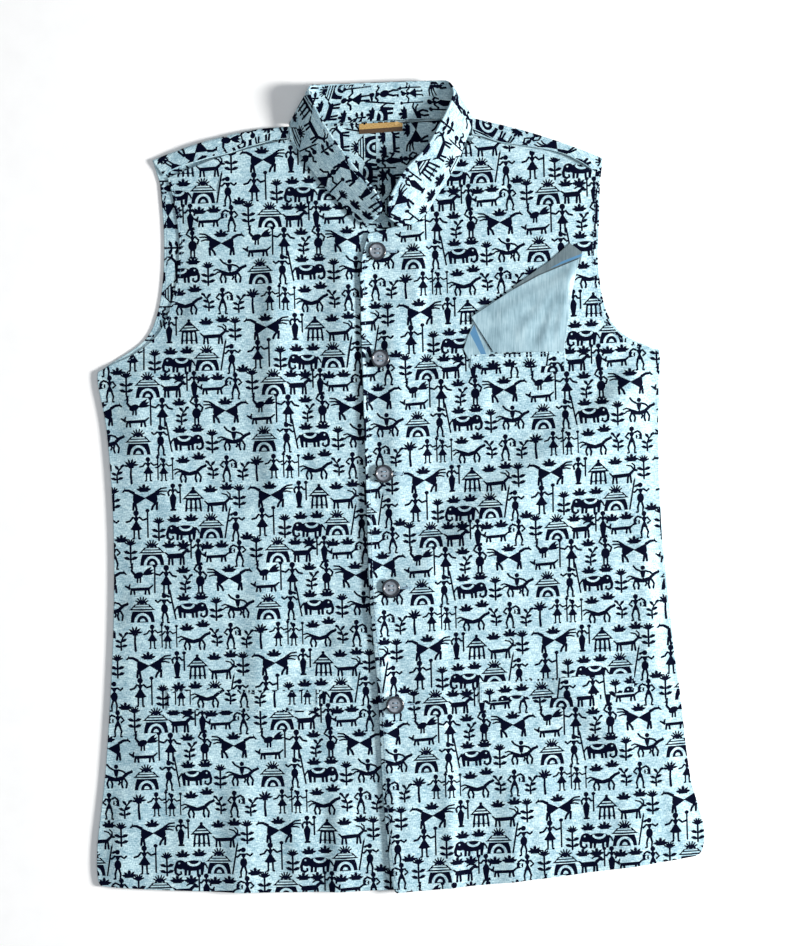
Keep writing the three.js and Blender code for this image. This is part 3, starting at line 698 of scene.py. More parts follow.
def rider():
    marks = scaled(pony(), 1.0, 0)
    marks += [
        disc(-0.6, 18.4, 2.0),
        area((-3.2, 16.2), (2.0, 16.2), (0.6, 10.0), (-1.8, 10.0)),
        band([(1.4, 15.6), (5.4, 14.4), (8.2, 11.8)], 1.0),
        band([(-2.8, 15.6), (-6.4, 17.6), (-8.6, 20.4)], 1.0),
        band([(-0.6, 9.4), (2.6, 5.0), (1.4, 2.8)], 1.1),
    ]
    return marks


def peacock():
    marks = [
        disc(-1.0, 6.4, 4.4, 2.8, 20),
        band([(-4.4, 7.4), (-6.8, 10.4), (-6.2, 13.0)], 1.7, 1.1),
        disc(-6.6, 13.6, 1.4),
        area((-7.6, 13.8), (-10.0, 13.0), (-7.6, 12.8)),
    ]
    for turn in (6, 22, 38):
        marks.append(leaf(2.4, 6.6, 11.0, turn, 0.16))
    marks += rays(-6.4, 14.4, 2.6, (70, 95, 120), 0.6)
    return marks + limbs([(-1.6, 4.4), (-2.0, 0.2)], [(0.6, 4.6), (0.6, 0.2)], width=0.9)


def flower_plant(top=19.0):
    marks = [band([(0, 0), (0, top - 3)], 1.0)]
    for level in (2.2, 7.4):
        marks.append(leaf(0, level, 6.8, 18, 0.3))
        marks.append(mirrored(marks[-1]))
    return marks + rays(0, top - 3.6, 4.8, (20, 48, 74, 106, 132, 160), 1.5)


def sprig():
    marks = [band([(0, 0), (0.2, 6.5), (-1.4, 10.6), (-4.8, 14.2)], 1.0, 0.7)]
    for x, y, turn in ((0, 2.2, 16), (0, 6.2, 22), (-1.6, 10.6, 48)):
        marks.append(leaf(x, y, 6.0, turn, 0.3))
    for x, y, turn in ((0, 2.6, 16), (0, 6.8, 26)):
        marks.append(mirrored(leaf(-x, y, 6.0, turn, 0.3)))
    return marks + [disc(-5.4, 14.8, 1.2), leaf(-2.6, 12.2, 4.2, 118, 0.34)]


def tuft():
    marks = [leaf(0, 0.8, 7.0, 12, 0.24), leaf(0, 0.8, 6.6, 42, 0.22), leaf(0.3, 0.8, 6.4, 84, 0.24)]
    marks += [mirrored(mark) for mark in marks]
    return marks + [dome(0, 0.0, 4.0, 2.6, 8)]


def palm():
    marks = [band([(0.6, 0), (0, 8), (0.4, 15.0)], 1.5, 1.0)]
    for turn in (8, 40, 72, 108, 140, 172):
        marks.append(leaf(0.4, 15.2, 7.0, turn, 0.2))
    return marks + [disc(-0.9, 14.2, 1.0), disc(1.8, 14.3, 1.0)]


def scaled(marks, size, shift=0.0):
    return [Mark(m.points * size + (shift, 0), m.inked) for m in marks]


def mirrored(mark):
    return Mark(mark.points * (-1, 1), mark.inked)


# One repeat of the print, from its bottom up. Each entry holds a figure, its x and y, and -1
# where the figure faces the other way.
REPEAT_WIDTH = 118.0
REPEAT_HEIGHT = 157.0
REPEAT_ROWS = (
    ((dancer, 12, 2, 1), (flower_plant, 33, 0, 1), (elephant, 55, 0, 1), (tuft, 48, 17, 1)),
    ((tuft, 63.5, 17.5, 1), (hut, 82, 1, 1), (hunter, 104, -2, 1), (tuft, 115.5, -1, 1)),
    ((stallion, 21, 29, 1), (tuft, 20, 46, 1), (slim_girl, 47, 28, 1), (granary, 66, 27, 1)),
    ((deer, 89, 26, 1), (tuft, 82, 44, 1), (tuft, 97.5, 46, 1), (flower_plant, 109, 29, 1)),
    ((palm, 8, 54, 1), (couple, 31, 56, 1), (pony, 64, 54, 1), (tuft, 57, 72, 1)),
    ((tuft, 72, 75, 1), (sprig, 85, 57, 1), (drummer, 98, 54, 1), (sprig, 113, 55, -1)),
    ((hut, 16, 81, 1), (hunter, 38, 80, -1), (elephant, 62, 84, -1), (tuft, 55, 100.5, 1)),
    ((tuft, 71, 101, 1), (flower_plant, 85, 81, 1), (rider, 106, 83, 1)),
    ((hound, 14, 107, 1), (peacock, 14, 118, 1), (dancer, 39, 107, -1), (sprig, 57, 108, -1)),
    ((tuft, 55, 126, 1), (water_carrier, 71, 107, 1), (stallion, 98, 109, -1), (tuft, 98, 126, 1)),
    ((flower_plant, 6, 137, 1), (hut, 26, 134, 1), (ram, 50, 134, 1), (tuft, 42.5, 150, 1)),
    ((tuft, 55.5, 150, 1), (slim_girl, 69.5, 133, -1), (hound, 86, 136, 1), (tuft, 78, 148, 1)),
    ((tuft, 91.5, 149, 1), (drummer, 108, 131, -1)),
)


def print_marks(low, high, origin, turn, skew):
    """Every mark of the repeated print that can reach a plan box."""
    across, up = math.radians(turn), math.radians(turn + skew)
    basis = np.array([(math.cos(across), math.sin(across)), (-math.sin(up), math.cos(up))])
    corners = np.array([(x, y) for x in (low[0], high[0]) for y in (low[1], high[1])]) - origin
    cells = corners @ np.linalg.inv(basis) / (REPEAT_WIDTH, REPEAT_HEIGHT)
    first = np.floor(cells.min(0)).astype(int) - 1
    last = np.ceil(cells.max(0)).astype(int) + 1
    figures = [(figure(), x, y, flip) for row in REPEAT_ROWS for figure, x, y, flip in row]
    marks = []
    for i in range(first[0], last[0] + 1):
        for j in range(first[1], last[1] + 1):
            for shapes, x, y, flip in figures:
                size = np.array([flip * FIGURE_SIZE, FIGURE_SIZE])
                place = np.array([x + i * REPEAT_WIDTH, y + j * REPEAT_HEIGHT])
                for mark in shapes:
                    points = origin + (mark.points * size + place) @ basis
                    if (points.max(0) > low).all() and (points.min(0) < high).all():
                        marks.append(Mark(points, mark.inked))
    return marks

# ---------------------------------------------------------------- cloth shells
# A piece of cloth is cut in plan: an outline and its printed marks are triangulated
# together, so that the print is inlaid in the cloth's own faces, and then the plan is
# bent to the surface on which the cloth lies. Both faces and a round edge make it closed.

EDGE_TURNS = 5


def triangulate(outline, marks, spacing, extra):
    """Plan points, triangles and whether each is inked, and the points of its edge."""
    low, high = outline.min(0), outline.max(0)
    columns = np.arange(low[0], high[0], spacing)
    rows = np.arange(low[1], high[1], spacing * 0.87)
    grid = np.array([(x + (j % 2) * spacing / 2, y) for j, y in enumerate(rows) for x in columns])
    grid = grid[inside(outline, grid)]
    closed = np.vstack([outline, outline[:1]])
    gap, _ = nearest_on(closed, grid)
    grid = grid[gap > spacing * 0.6]
    if extra is not None:
        grid = np.vstack([grid, extra[inside(outline, extra)]])
    points = [Vector(p) for p in outline] + [Vector(p) for p in grid]
    faces = [list(range(len(outline)))]
    for mark in marks:
        loop = counter_clockwise(mark.points)
        faces.append(list(range(len(points), len(points) + len(loop))))
        points += [Vector(p) for p in loop]
    inked = [False] + [mark.inked for mark in marks]
    flat, _, cells, sources, _, covers = delaunay_2d_cdt(points, [], faces, 0, 1e-3, True)
    triangles, print_flags = [], []
    for cell, cover in zip(cells, covers):
        if 0 in cover:
            triangles.append(cell)
            print_flags.append(inked[max(cover)])
    flat = np.array([(p.x, p.y) for p in flat])
    triangles = np.array(triangles)
    used, triangles = np.unique(triangles, return_inverse=True)
    triangles = triangles.reshape(-1, 3)
    on_outline = {}
    for new, old in enumerate(used):
        first = [k for k in sources[old] if k < len(outline)]
        if first:
            on_outline[new] = first[0]
    flat = flat[used]
    edge = edge_loop(flat, triangles, print_flags, on_outline, outline)
    return flat, triangles, np.array(print_flags), edge


def edge_loop(flat, triangles, print_flags, on_outline, outline):
    """The edge's points in order, each with its place along the outline and its ink."""
    sides = {}
    for (a, b, c), inked in zip(triangles.tolist(), print_flags):
        for pair in ((a, b), (b, c), (c, a)):
            sides[pair] = inked
    following = {a: (b, inked) for (a, b), inked in sides.items() if (b, a) not in sides}
    corner, first = min((k, v) for v, k in on_outline.items() if v in following)
    loop, places, inks = [], [], []
    vertex = first
    for _ in range(len(following)):
        corner = on_outline.get(vertex, corner)
        step = outline[(corner + 1) % len(outline)] - outline[corner]
        share = (flat[vertex] - outline[corner]) @ step / (step @ step)
        loop.append(vertex)
        places.append(corner + min(max(share, 0.0), 0.999))
        vertex, inked = following[vertex]
        inks.append(inked)
        if vertex == first:
            break
    return np.array(loop), np.array(places), inks


def joined(ring_a, places_a, ring_b, places_b):
    """Triangles between two rings that follow one outline with different points."""
    triangles = []
    i = j = 0
    count_a, count_b = len(ring_a), len(ring_b)
    while i < count_a or j < count_b:
        next_a = places_a[i + 1] if i + 1 < count_a else places_a[-1] + 1
        next_b = places_b[j + 1] if j + 1 < count_b else places_b[-1] + 1
        a, b = ring_a[i % count_a], ring_b[j % count_b]
        if j >= count_b or (i < count_a and next_a <= next_b):
            triangles.append((a, b, ring_a[(i + 1) % count_a]))
            i += 1
        else:
            triangles.append((a, b, ring_b[(j + 1) % count_b]))
            j += 1
    return triangles


def bent(surface, flat):
    """Place and local frame of plan points on a surface: across, up and normal."""
    small = 0.4
    across = surface(flat + (small, 0)) - surface(flat - (small, 0))
    up = surface(flat + (0, small)) - surface(flat - (0, small))
    normal = np.cross(across, up)
    normal /= np.linalg.norm(normal, axis=1)[:, None]
    return surface(flat), across / (2 * small), up / (2 * small), normal


def cloth_piece(name, outline, surface, thick, marks, finish, spacing=3.2,
                under_marks=(), under_spacing=9.0, extra=None):
    """A closed shell of cloth, `thick` through, round the given surface.

    `marks` and `spacing` are the print and the point distance of its upper face, and the
    two `under` ones those of its lower face; `extra` adds points where it bends sharply.
    """
    half = thick / 2
    outline = outline - outward(outline) * half
    top, top_faces, top_ink, top_edge = triangulate(outline, marks, spacing, extra)
    low, low_faces, low_ink, low_edge = triangulate(outline, under_marks, under_spacing, extra)
    top_loop, top_places, edge_ink = top_edge
    low_loop, low_places, _ = low_edge
    place, _, _, normal = bent(surface, top)
    points = [place + normal * half]
    normals = [normal]
    faces = top_faces.tolist()
    inks = top_ink.tolist()
    uppers = [True] * len(faces)
    plans = [top]
    ring = top_loop
    loop_plan = top[top_loop]
    loop_place, loop_across, loop_up, loop_normal = (a for a in bent(surface, loop_plan))
    out = outward(loop_plan)
    outward_3d = loop_across * out[:, :1] + loop_up * out[:, 1:]
    outward_3d /= np.linalg.norm(outward_3d, axis=1)[:, None]
    count = len(top)
    for turn in range(1, EDGE_TURNS):
        angle = math.pi * (0.5 - turn / EDGE_TURNS)
        direction = outward_3d * math.cos(angle) + loop_normal * math.sin(angle)
        points.append(loop_place + direction * half)
        normals.append(direction)
        plans.append(loop_plan + out * half * math.cos(angle))
        fresh = np.arange(count, count + len(ring))
        count += len(ring)
        for k in range(len(ring)):
            n = (k + 1) % len(ring)
            faces.append([int(ring[k]), int(fresh[k]), int(fresh[n]), int(ring[n])])
            inks.append(bool(edge_ink[k]))
            uppers.append(turn * 2 <= EDGE_TURNS)
        ring = fresh
    place, _, _, normal = bent(surface, low)
    points.append(place - normal * half)
    normals.append(-normal)
    plans.append(low)
    for a, b, c in joined(ring, top_places, low_loop + count, low_places):
        faces.append([int(a), int(b), int(c)])
        inks.append(False)
        uppers.append(False)
    faces += (low_faces[:, ::-1] + count).tolist()
    inks += low_ink.tolist()
    uppers += [False] * len(low_faces)
    mesh = mesh_from(name, np.vstack(points), faces, np.vstack(normals))
    printed = mesh.attributes.new("printed", "FLOAT", "FACE")
    printed.data.foreach_set("value", np.array(inks, np.float32))
    lay_out_map(mesh, np.vstack(plans), np.array(uppers))
    return finished(name, mesh, finish)


def mesh_from(name, points, faces, normals=None):
    mesh = bpy.data.meshes.new(name)
    mesh.from_pydata(((points + SHIFT) * MM).tolist(), [], faces)
    mesh.polygons.foreach_set("use_smooth", np.ones(len(mesh.polygons), bool))
    if normals is not None:
        mesh.normals_split_custom_set_from_vertices(normals.tolist())
    return mesh


def lay_out_map(mesh, plan, uppers):
    """The upper faces beside the lower ones, flat as they were cut, in one square map."""
    low, size = plan.min(0), np.ptp(plan, axis=0)
    margin = size.max() * 0.02
    side = max(size[0] * 2 + margin * 3, size[1] + margin * 2)
    upper = np.repeat(uppers, [p.loop_total for p in mesh.polygons])
    vertex = np.zeros(len(mesh.loops), np.int32)
    mesh.loops.foreach_get("vertex_index", vertex)
    places = plan[vertex] - low + margin
    places[~upper, 0] += size[0] + margin
    mesh.uv_layers.new(name="OFBake").data.foreach_set("uv", (places / side).astype(np.float32).ravel())
    mesh.uv_layers.new(name="Cloth").data.foreach_set("uv", plan[vertex].astype(np.float32).ravel())


def finished(name, mesh, finish):
    piece = bpy.data.objects.new(name, mesh)
    bpy.context.scene.collection.objects.link(piece)
    mesh.materials.append(finish)
    return piece

# ---------------------------------------------------------------- materials


def node(tree, kind, inputs=None, **settings):
    made = tree.nodes.new("ShaderNode" + kind)
    for name, value in settings.items():
        setattr(made, name, value)
    for name, value in (inputs or {}).items():
        if isinstance(value, bpy.types.NodeSocket):
            tree.links.new(value, made.inputs[name])
        else:
            made.inputs[name].default_value = value
    return made


def srgb(*levels):
    """A colour given in 0..255 steps of a screen, as the linear one that shaders take."""
    c = np.array(levels) / 255
    return (*np.where(c < 0.04045, c / 12.92, ((c + 0.055) / 1.055) ** 2.4), 1.0)


def new_material(name, roughness, **constants):
    """A material with its own shader, whose constants are set on the shader's sockets."""
    material = bpy.data.materials.new(name)
    material.use_nodes = True
    tree = material.node_tree
    shader = tree.nodes["Principled BSDF"]
    shader.inputs["Roughness"].default_value = roughness
    for socket, value in constants.items():
        shader.inputs[socket.replace("_", " ")].default_value = value
    return material, tree, shader


def noise(tree, place, scale, detail=2.0, stretch=(1, 1, 1)):
    at = node(tree, "Mapping", {"Vector": place, "Scale": stretch})
    made = node(tree, "TexNoise", {"Vector": at.outputs[0], "Scale": scale, "Detail": detail})
    return made.outputs["Fac"]


def ramp(tree, factor, *stops):
    made = node(tree, "ValToRGB", {"Fac": factor})
    elements = made.color_ramp.elements
    while len(elements) < len(stops):
        elements.new(0.5)
    for element, (position, colour) in zip(elements, stops):
        element.position = position
        element.color = colour
    return made.outputs["Color"]


def mixed(tree, factor, first, second, blend="MIX"):
    made = node(tree, "Mix", {"Factor": factor}, data_type="RGBA", blend_type=blend)
    for index, value in ((6, first), (7, second)):
        if isinstance(value, bpy.types.NodeSocket):
            tree.links.new(value, made.inputs[index])
        else:
            made.inputs[index].default_value = value
    return made.outputs[2]


def sums(tree, *terms):
    """The sum of (output, weight) pairs."""
    total = None
    for output, weight in terms:
        part = node(tree, "Math", {0: output, 1: weight}, operation="MULTIPLY").outputs[0]
        if total is not None:
            part = node(tree, "Math", {0: total, 1: part}, operation="ADD").outputs[0]
        total = part
    return total


WAVE_TURNS = 20           # a wave texture turns this many radians in a unit at scale 1


def weave(tree, place, pitch):
    """Plain weave: threads across and along, that pass over each other in turn."""
    setting = {"Vector": place, "Scale": 2 * math.pi / pitch / WAVE_TURNS}
    across = node(tree, "TexWave", setting, bands_direction="X").outputs["Fac"]
    along = node(tree, "TexWave", setting, bands_direction="Y").outputs["Fac"]
    return node(tree, "Math", {0: across, 1: along}, operation="MAXIMUM").outputs[0]


# The print's ground from its darkest to its lightest tone: the dark and light ends stand partly for
# painted shade and painted sheen of the silk's lustre.
GROUND_DARK = srgb(104, 146, 164)
GROUND = srgb(162, 193, 205)
GROUND_LIGHT = srgb(214, 240, 243)
INK = srgb(0, 3, 24)
INK_WORN = srgb(5, 10, 40)
THREAD_PITCH = 0.42


def silk_material(name):
    """Slubbed silk: cross threads of uneven thickness, a blotchy lustre that is painted into its colour
    as lighter and darker patches (painted sheen and shade), and printed ink.
    """
    material, tree, shader = new_material(name, 0.42, Sheen_Roughness=0.4)
    place = node(tree, "UVMap", uv_map="Cloth").outputs["UV"]
    sheen_cloud = noise(tree, place, 0.034, 3.0)
    sheen_patch = noise(tree, place, 0.11, 4.0, (1.0, 1.6, 1.0))
    slub = noise(tree, place, 1.0, 3.0, (0.20, 1.5, 1.0))
    nap = noise(tree, place, 1.0, 2.0, (1.3, 0.42, 1.0))
    # The two large noises paint the lustre's sheen and shade into the ground's colour; the slub and nap
    # noises are the threads' own uneven tone.
    tone = sums(tree, (sheen_cloud, 0.16), (sheen_patch, 0.18), (slub, 0.46), (nap, 0.36))
    ground = ramp(tree, tone, (0.46, GROUND_DARK), (0.58, GROUND), (0.70, GROUND_LIGHT))
    ink = mixed(tree, ramp(tree, slub, (0.56, (0, 0, 0, 1)), (0.74, (1, 1, 1, 1))), INK, INK_WORN)
    printed = node(tree, "Attribute", attribute_name="printed").outputs["Fac"]
    tree.links.new(mixed(tree, printed, ground, ink), shader.inputs["Base Color"])
    gloss = sums(tree, (printed, 0.30), (slub, 0.3), (sheen_patch, 0.12))
    lustre = node(tree, "Math", {0: printed, 1: -0.26, 2: 0.3}, operation="MULTIPLY_ADD")
    tree.links.new(lustre.outputs[0], shader.inputs["Specular IOR Level"])
    bloom = node(tree, "Math", {0: printed, 1: -0.06, 2: 0.06}, operation="MULTIPLY_ADD")
    tree.links.new(bloom.outputs[0], shader.inputs["Sheen Weight"])
    roughness = node(tree, "Math", {0: gloss, 1: 0.22}, operation="ADD")
    tree.links.new(roughness.outputs[0], shader.inputs["Roughness"])
    threads = sums(tree, (weave(tree, place, THREAD_PITCH), 0.5), (slub, 0.9), (nap, 0.3))
    bump = node(tree, "Bump", {"Height": threads, "Strength": 0.35, "Distance": 0.00022})
    tree.links.new(bump.outputs[0], shader.inputs["Normal"])
    return material


# The satin's colour from painted shade to painted highlight: its lustre is painted in.
SATIN_TONES = ((0.36, (112, 142, 154)), (0.475, (136, 166, 178)), (0.60, (160, 188, 198)))


def satin_material(name, shade):
    """Plain satin, its drawn lustre painted into the colour as lighter and darker streaks; `shade`
    darkens all of it as painted shade for a layer in shadow.
    """
    material, tree, shader = new_material(
        name, 0.34, Sheen_Weight=0.3, Sheen_Roughness=0.35, Anisotropic=0.4)
    place = node(tree, "UVMap", uv_map="Cloth").outputs["UV"]
    sheen_cloud = noise(tree, place, 0.05, 3.0)
    lustre_streak = noise(tree, place, 1.0, 3.0, (0.9, 0.06, 1.0))
    # The large noise and the streaks paint the lustre's highlights and shade into the colour.
    tone = sums(tree, (sheen_cloud, 0.50), (lustre_streak, 0.45))
    stops = [(at, srgb(*(shade * np.array(colour)))) for at, colour in SATIN_TONES]
    colour = ramp(tree, tone, *stops)
    printed = node(tree, "Attribute", attribute_name="printed").outputs["Fac"]
    tree.links.new(mixed(tree, printed, colour, srgb(66, 118, 156)), shader.inputs["Base Color"])
    threads = sums(tree, (weave(tree, place, 0.3), 0.35), (lustre_streak, 0.8))
    bump = node(tree, "Bump", {"Height": threads, "Strength": 0.3, "Distance": 0.00018})
    tree.links.new(bump.outputs[0], shader.inputs["Normal"])
    return material


def label_material():
    """Gold damask over a dark brown band, with nothing woven into it."""
    material, tree, shader = new_material("label_weave", 0.5, Sheen_Weight=0.2, Specular_IOR_Level=0.4)
    place = node(tree, "UVMap", uv_map="Cloth").outputs["UV"]
    # The gold and the brown both vary with streaky glints: painted glints of the damask in its colour.
    glint = noise(tree, place, 1.0, 2.0, (0.5, 3.0, 1.0))
    gold = ramp(tree, glint, (0.35, srgb(140, 106, 56)), (0.62, srgb(200, 166, 102)))
    brown = ramp(tree, glint, (0.35, srgb(44, 30, 16)), (0.62, srgb(86, 60, 30)))
    printed = node(tree, "Attribute", attribute_name="printed").outputs["Fac"]
    tree.links.new(mixed(tree, printed, gold, brown), shader.inputs["Base Color"])
    bump = node(tree, "Bump", {"Height": weave(tree, place, 0.5), "Strength": 0.4, "Distance": 0.0002})
    tree.links.new(bump.outputs[0], shader.inputs["Normal"])
    return material


def button_material():
    """Smoky blue plastic, paler in the dish than at the rim's outer wall."""
    material, tree, shader = new_material(
        "button_plastic", 0.22, Specular_IOR_Level=0.6, Coat_Weight=0.5, Coat_Roughness=0.08)
    rim = node(tree, "Attribute", attribute_name="rim").outputs["Fac"]
    place = node(tree, "TexCoord").outputs["Object"]
    swirl = noise(tree, place, 260.0, 3.0)
    dish = ramp(tree, swirl, (0.35, srgb(84, 94, 106)), (0.65, srgb(130, 140, 150)))
    tree.links.new(mixed(tree, rim, dish, srgb(10, 14, 30)), shader.inputs["Base Color"])
    bump = node(tree, "Bump", {"Height": swirl, "Strength": 0.08, "Distance": 0.0002})
    tree.links.new(bump.outputs[0], shader.inputs["Normal"])
    return material


def thread_material():
    material, tree, shader = new_material("thread", 0.5, Sheen_Weight=0.4, Sheen_Roughness=0.5)
    place = node(tree, "TexCoord").outputs["Object"]
    fibre = noise(tree, place, 1800.0, 2.0)
    colour = ramp(tree, fibre, (0.35, srgb(96, 132, 156)), (0.65, srgb(150, 184, 204)))
    tree.links.new(colour, shader.inputs["Base Color"])
    bump = node(tree, "Bump", {"Height": fibre, "Strength": 0.5, "Distance": 0.0001})
    tree.links.new(bump.outputs[0], shader.inputs["Normal"])
    return material


SILK = silk_material("silk")
SATIN = satin_material("satin", 1.0)
# A darker copy of the satin: painted shade for the layer of the pocket square that lies in shadow.
SATIN_SHADED = satin_material("satin_shaded", 0.62)
LABEL_WEAVE = label_material()
BUTTON_PLASTIC = button_material()
THREAD = thread_material()

# ---------------------------------------------------------------- cloth pieces

Phase = namedtuple("Phase", "x y turn skew", defaults=(0.0,))
PRINT = {
    "right": Phase(-251.0, -366.0, 1.4),
    "left": Phase(11.0, -350.0, 3.5, -2.0),
    "outside": Phase(-290.0, -420.0, 0.5),
    "inside": Phase(-20.0, 236.0, 91.0),
    "breast_welt": Phase(40.0, 92.0, 2.0),
    "lower_welt_right": Phase(-243.0, -262.0, 0.6),
    "lower_welt_left": Phase(52.0, -214.0, 4.2),
    "collar": Phase(-190.0, -13.0, 0.8),
    "collar_inside": Phase(-148.0, 60.0, -91.0),
}


def printed_over(phase, low, high):
    low, high = np.array(low, float), np.array(high, float)
    return print_marks(low, high, np.array(phase[:2]), phase.turn, phase.skew)


def settle(piece, node_name):
    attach(piece, "root")
    if node_name:
        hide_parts(node_name)
    return piece


def cut_size(outline):
    """Width, length and area of a cut, in metres, along or askew to the plan's axes."""
    _, _, askew = np.linalg.svd(outline - outline.mean(0), full_matrices=False)
    sizes = [np.ptp(outline, axis=0), np.ptp(outline @ askew.T, axis=0)]
    return tuple(min(sizes, key=np.prod) * MM), abs(signed_area(outline)) * MM * MM


def settle_sheet(piece, node_name, outline):
    settle(piece, node_name)
    flat, flat_area = cut_size(outline)


def front(side, sections):
    outline = front_outline(sections)
    marks = printed_over(PRINT[side], outline.min(0), outline.max(0))
    name = f"front_{side}"
    piece = cloth_piece(name + "_cloth", outline, on_front(side), CLOTH, marks, SILK)
    settle_sheet(piece, name, outline)


Shoulder = namedtuple("Shoulder", "line outward radius seam")
LINE_REACH = 100.0        # the line of a shoulder fold, carried on past both its ends
STRIP_GAP = 0.4


def seam_line(sections, count=60):
    last = sections[-1]
    t = np.linspace(0, 1, count)[:, None]
    bow = np.hstack([0 * t, 4 * t * (1 - t) * last.bow])
    outer, inner = np.array(last[:2]), np.array(last[2:4])
    return outer * (1 - t) + inner * t + bow


def shoulder(side, fold, sections):
    """Where the back starts to turn over a shoulder, and how tightly it turns."""
    ridge = smooth_line(fold, 12)
    seam = seam_line(sections, len(ridge))
    forward = seam - ridge
    forward /= np.linalg.norm(forward, axis=1)[:, None]
    outer_radius = (front_height(side, seam) + CLOTH / 2) / 2
    line = ridge + forward * outer_radius[:, None]
    first = line[0] + (line[0] - line[4]) / np.linalg.norm(line[0] - line[4]) * LINE_REACH
    last = line[-1] + (line[-1] - line[-5]) / np.linalg.norm(line[-1] - line[-5]) * LINE_REACH
    return Shoulder(
        np.vstack([first, line, last]),
        -np.vstack([forward[:1], forward, forward[-1:]]),
        np.concatenate([outer_radius[:1], outer_radius, outer_radius[-1:]]) - CLOTH / 2,
        seam_line(sections),
    )


SHOULDERS = (
    shoulder("right", RIGHT_SHOULDER_FOLD, RIGHT_FRONT),
    shoulder("left", LEFT_SHOULDER_FOLD, LEFT_FRONT),
)


def beside(turn, points):
    """Nearest places on a shoulder's line, its way out, how far points lie past it, and its radius."""
    _, along = nearest_on(turn.line, points)
    rows = np.arange(len(turn.line))
    at = np.stack([np.interp(along, rows, turn.line[:, k]) for k in (0, 1)], 1)
    out = np.stack([np.interp(along, rows, turn.outward[:, k]) for k in (0, 1)], 1)
    radius = np.interp(along, rows, turn.radius)
    return at, out, ((points - at) * out).sum(1), radius


BACK_CREASES = (
    Fold(4, 344, 2, 230, 7, 1.6, 1.0),
    Fold(-58, 344, -52, 240, 1.6, 7, 0.9),
    Fold(-214, 300, -216, 120, 6, 3, 0.4),
)


def back_surface(points):
    """The back lies flat, and beyond each shoulder's line it turns up and over."""
    x, y = points.T
    lift = sum(fold_rise(crease, x, y) for crease in BACK_CREASES)
    result = np.column_stack([points, CLOTH / 2 + lift])
    for turn in SHOULDERS:
        at, out, past, radius = beside(turn, points)
        over = past > 0
        angle = np.minimum(past / radius, math.pi)
        beyond = np.maximum(past - math.pi * radius, 0)
        reach = np.sin(angle) * radius - beyond
        height = CLOTH / 2 + radius * (1 - np.cos(angle))
        bent_over = np.column_stack([at + out * reach[:, None], height])
        result[over] = bent_over[over]
    return result


def unfolded_seam(turn):
    """The shoulder seam's line on the flat cut of the back."""
    at, out, past, radius = beside(turn, turn.seam)
    return at + out * (-past - STRIP_GAP + math.pi * radius)[:, None]


def back_outline():
    sides = smooth_line(BACK)
    right, left = sides[:, :2], sides[:, 2:]
    t = np.linspace(0, 1, 120)[:, None]
    hem = right[0] * (1 - t) + left[0] * t + np.hstack([0 * t, 4 * t * (1 - t) * BACK_HEM_BOW])
    right_top, left_top = (unfolded_seam(turn) for turn in SHOULDERS)
    neck = smooth_line(BACK_NECK)
    path = np.vstack([hem, left[1:], left_top, neck[::-1], right_top[::-1], right[:0:-1]])
    return counter_clockwise(spaced(np.vstack([path, path[:1]]), 2.5)[:-1])


def roll_points():
    """Extra points along the shoulder folds, close enough together to turn smoothly."""
    rows = []
    for turn in SHOULDERS:
        half_turn = (turn.radius[1:-1] * math.pi)[:, None]
        for share in np.linspace(-0.1, 1.1, 9):
            rows.append(turn.line[1:-1] + turn.outward[1:-1] * half_turn * share)
    return np.vstack(rows)


INSIDE_SHOWS = (((-118, 226), (80, 352)), ((-236, 92), (-200, 300)), ((178, 140), (196, 300)))


def back():
    outline = back_outline()
    inside_marks = []
    for low, high in INSIDE_SHOWS:
        inside_marks += printed_over(PRINT["inside"], low, high)
    outside_marks = printed_over(PRINT["outside"], outline.min(0), outline.max(0))
    piece = cloth_piece(
        "back_cloth", outline, back_surface, CLOTH, inside_marks, SILK,
        7.0, outside_marks, 12.0, roll_points())
    settle_sheet(piece, "back", outline)


def collar_rows():
    """The band's stations, and the distance round it at each one, at half its height."""
    rows = spline(COLLAR, np.linspace(0, len(COLLAR) - 1, 400))
    middle = (rows[:, :3] + rows[:, 3:]) / 2
    round_it = np.append(0, np.cumsum(np.linalg.norm(np.diff(middle, axis=0), axis=1)))
    return rows, round_it


COLLAR_ROWS, COLLAR_ROUND = collar_rows()
COLLAR_RISE = np.linalg.norm(COLLAR_ROWS[:, 3:] - COLLAR_ROWS[:, :3], axis=1)
COLLAR_TUCK = 1.6         # how far the band reaches below its seam


def collar_surface(points):
    """From the flat cut, with its left end first, to the band as it stands."""
    round_it = -points[:, 0]
    rows = np.stack([np.interp(round_it, COLLAR_ROUND, COLLAR_ROWS[:, k]) for k in range(6)], 1)
    share = points[:, 1] / np.interp(round_it, COLLAR_ROUND, COLLAR_RISE)
    bulge = np.sin(np.clip(share, 0, 1) * math.pi) * 0.8
    place = rows[:, :3] + (rows[:, 3:] - rows[:, :3]) * share[:, None]
    return place + np.column_stack([0 * bulge, 0 * bulge, bulge])


def collar_outline():
    free = np.column_stack([-COLLAR_ROUND, COLLAR_RISE])
    sewn = np.array([(-COLLAR_ROUND[-1], -COLLAR_TUCK), (0, -COLLAR_TUCK)])
    first_end = np.vstack([sewn[1:], free[:1]])
    last_end = np.vstack([free[-1:], sewn[:1]])
    lines = [spaced(line, 2.0)[:-1] for line in (sewn, first_end, free, last_end)]
    return counter_clockwise(np.vstack(lines))


def collar():
    outline = collar_outline()
    low, high = outline.min(0), outline.max(0)
    outer = printed_over(PRINT["collar"], low, high)
    inner = printed_over(PRINT["collar_inside"], low, high)
    piece = cloth_piece(
        "collar_band", outline, collar_surface, COLLAR_CLOTH, outer, SILK, 3.0, inner, 3.0)
    settle_sheet(piece, "collar", outline)


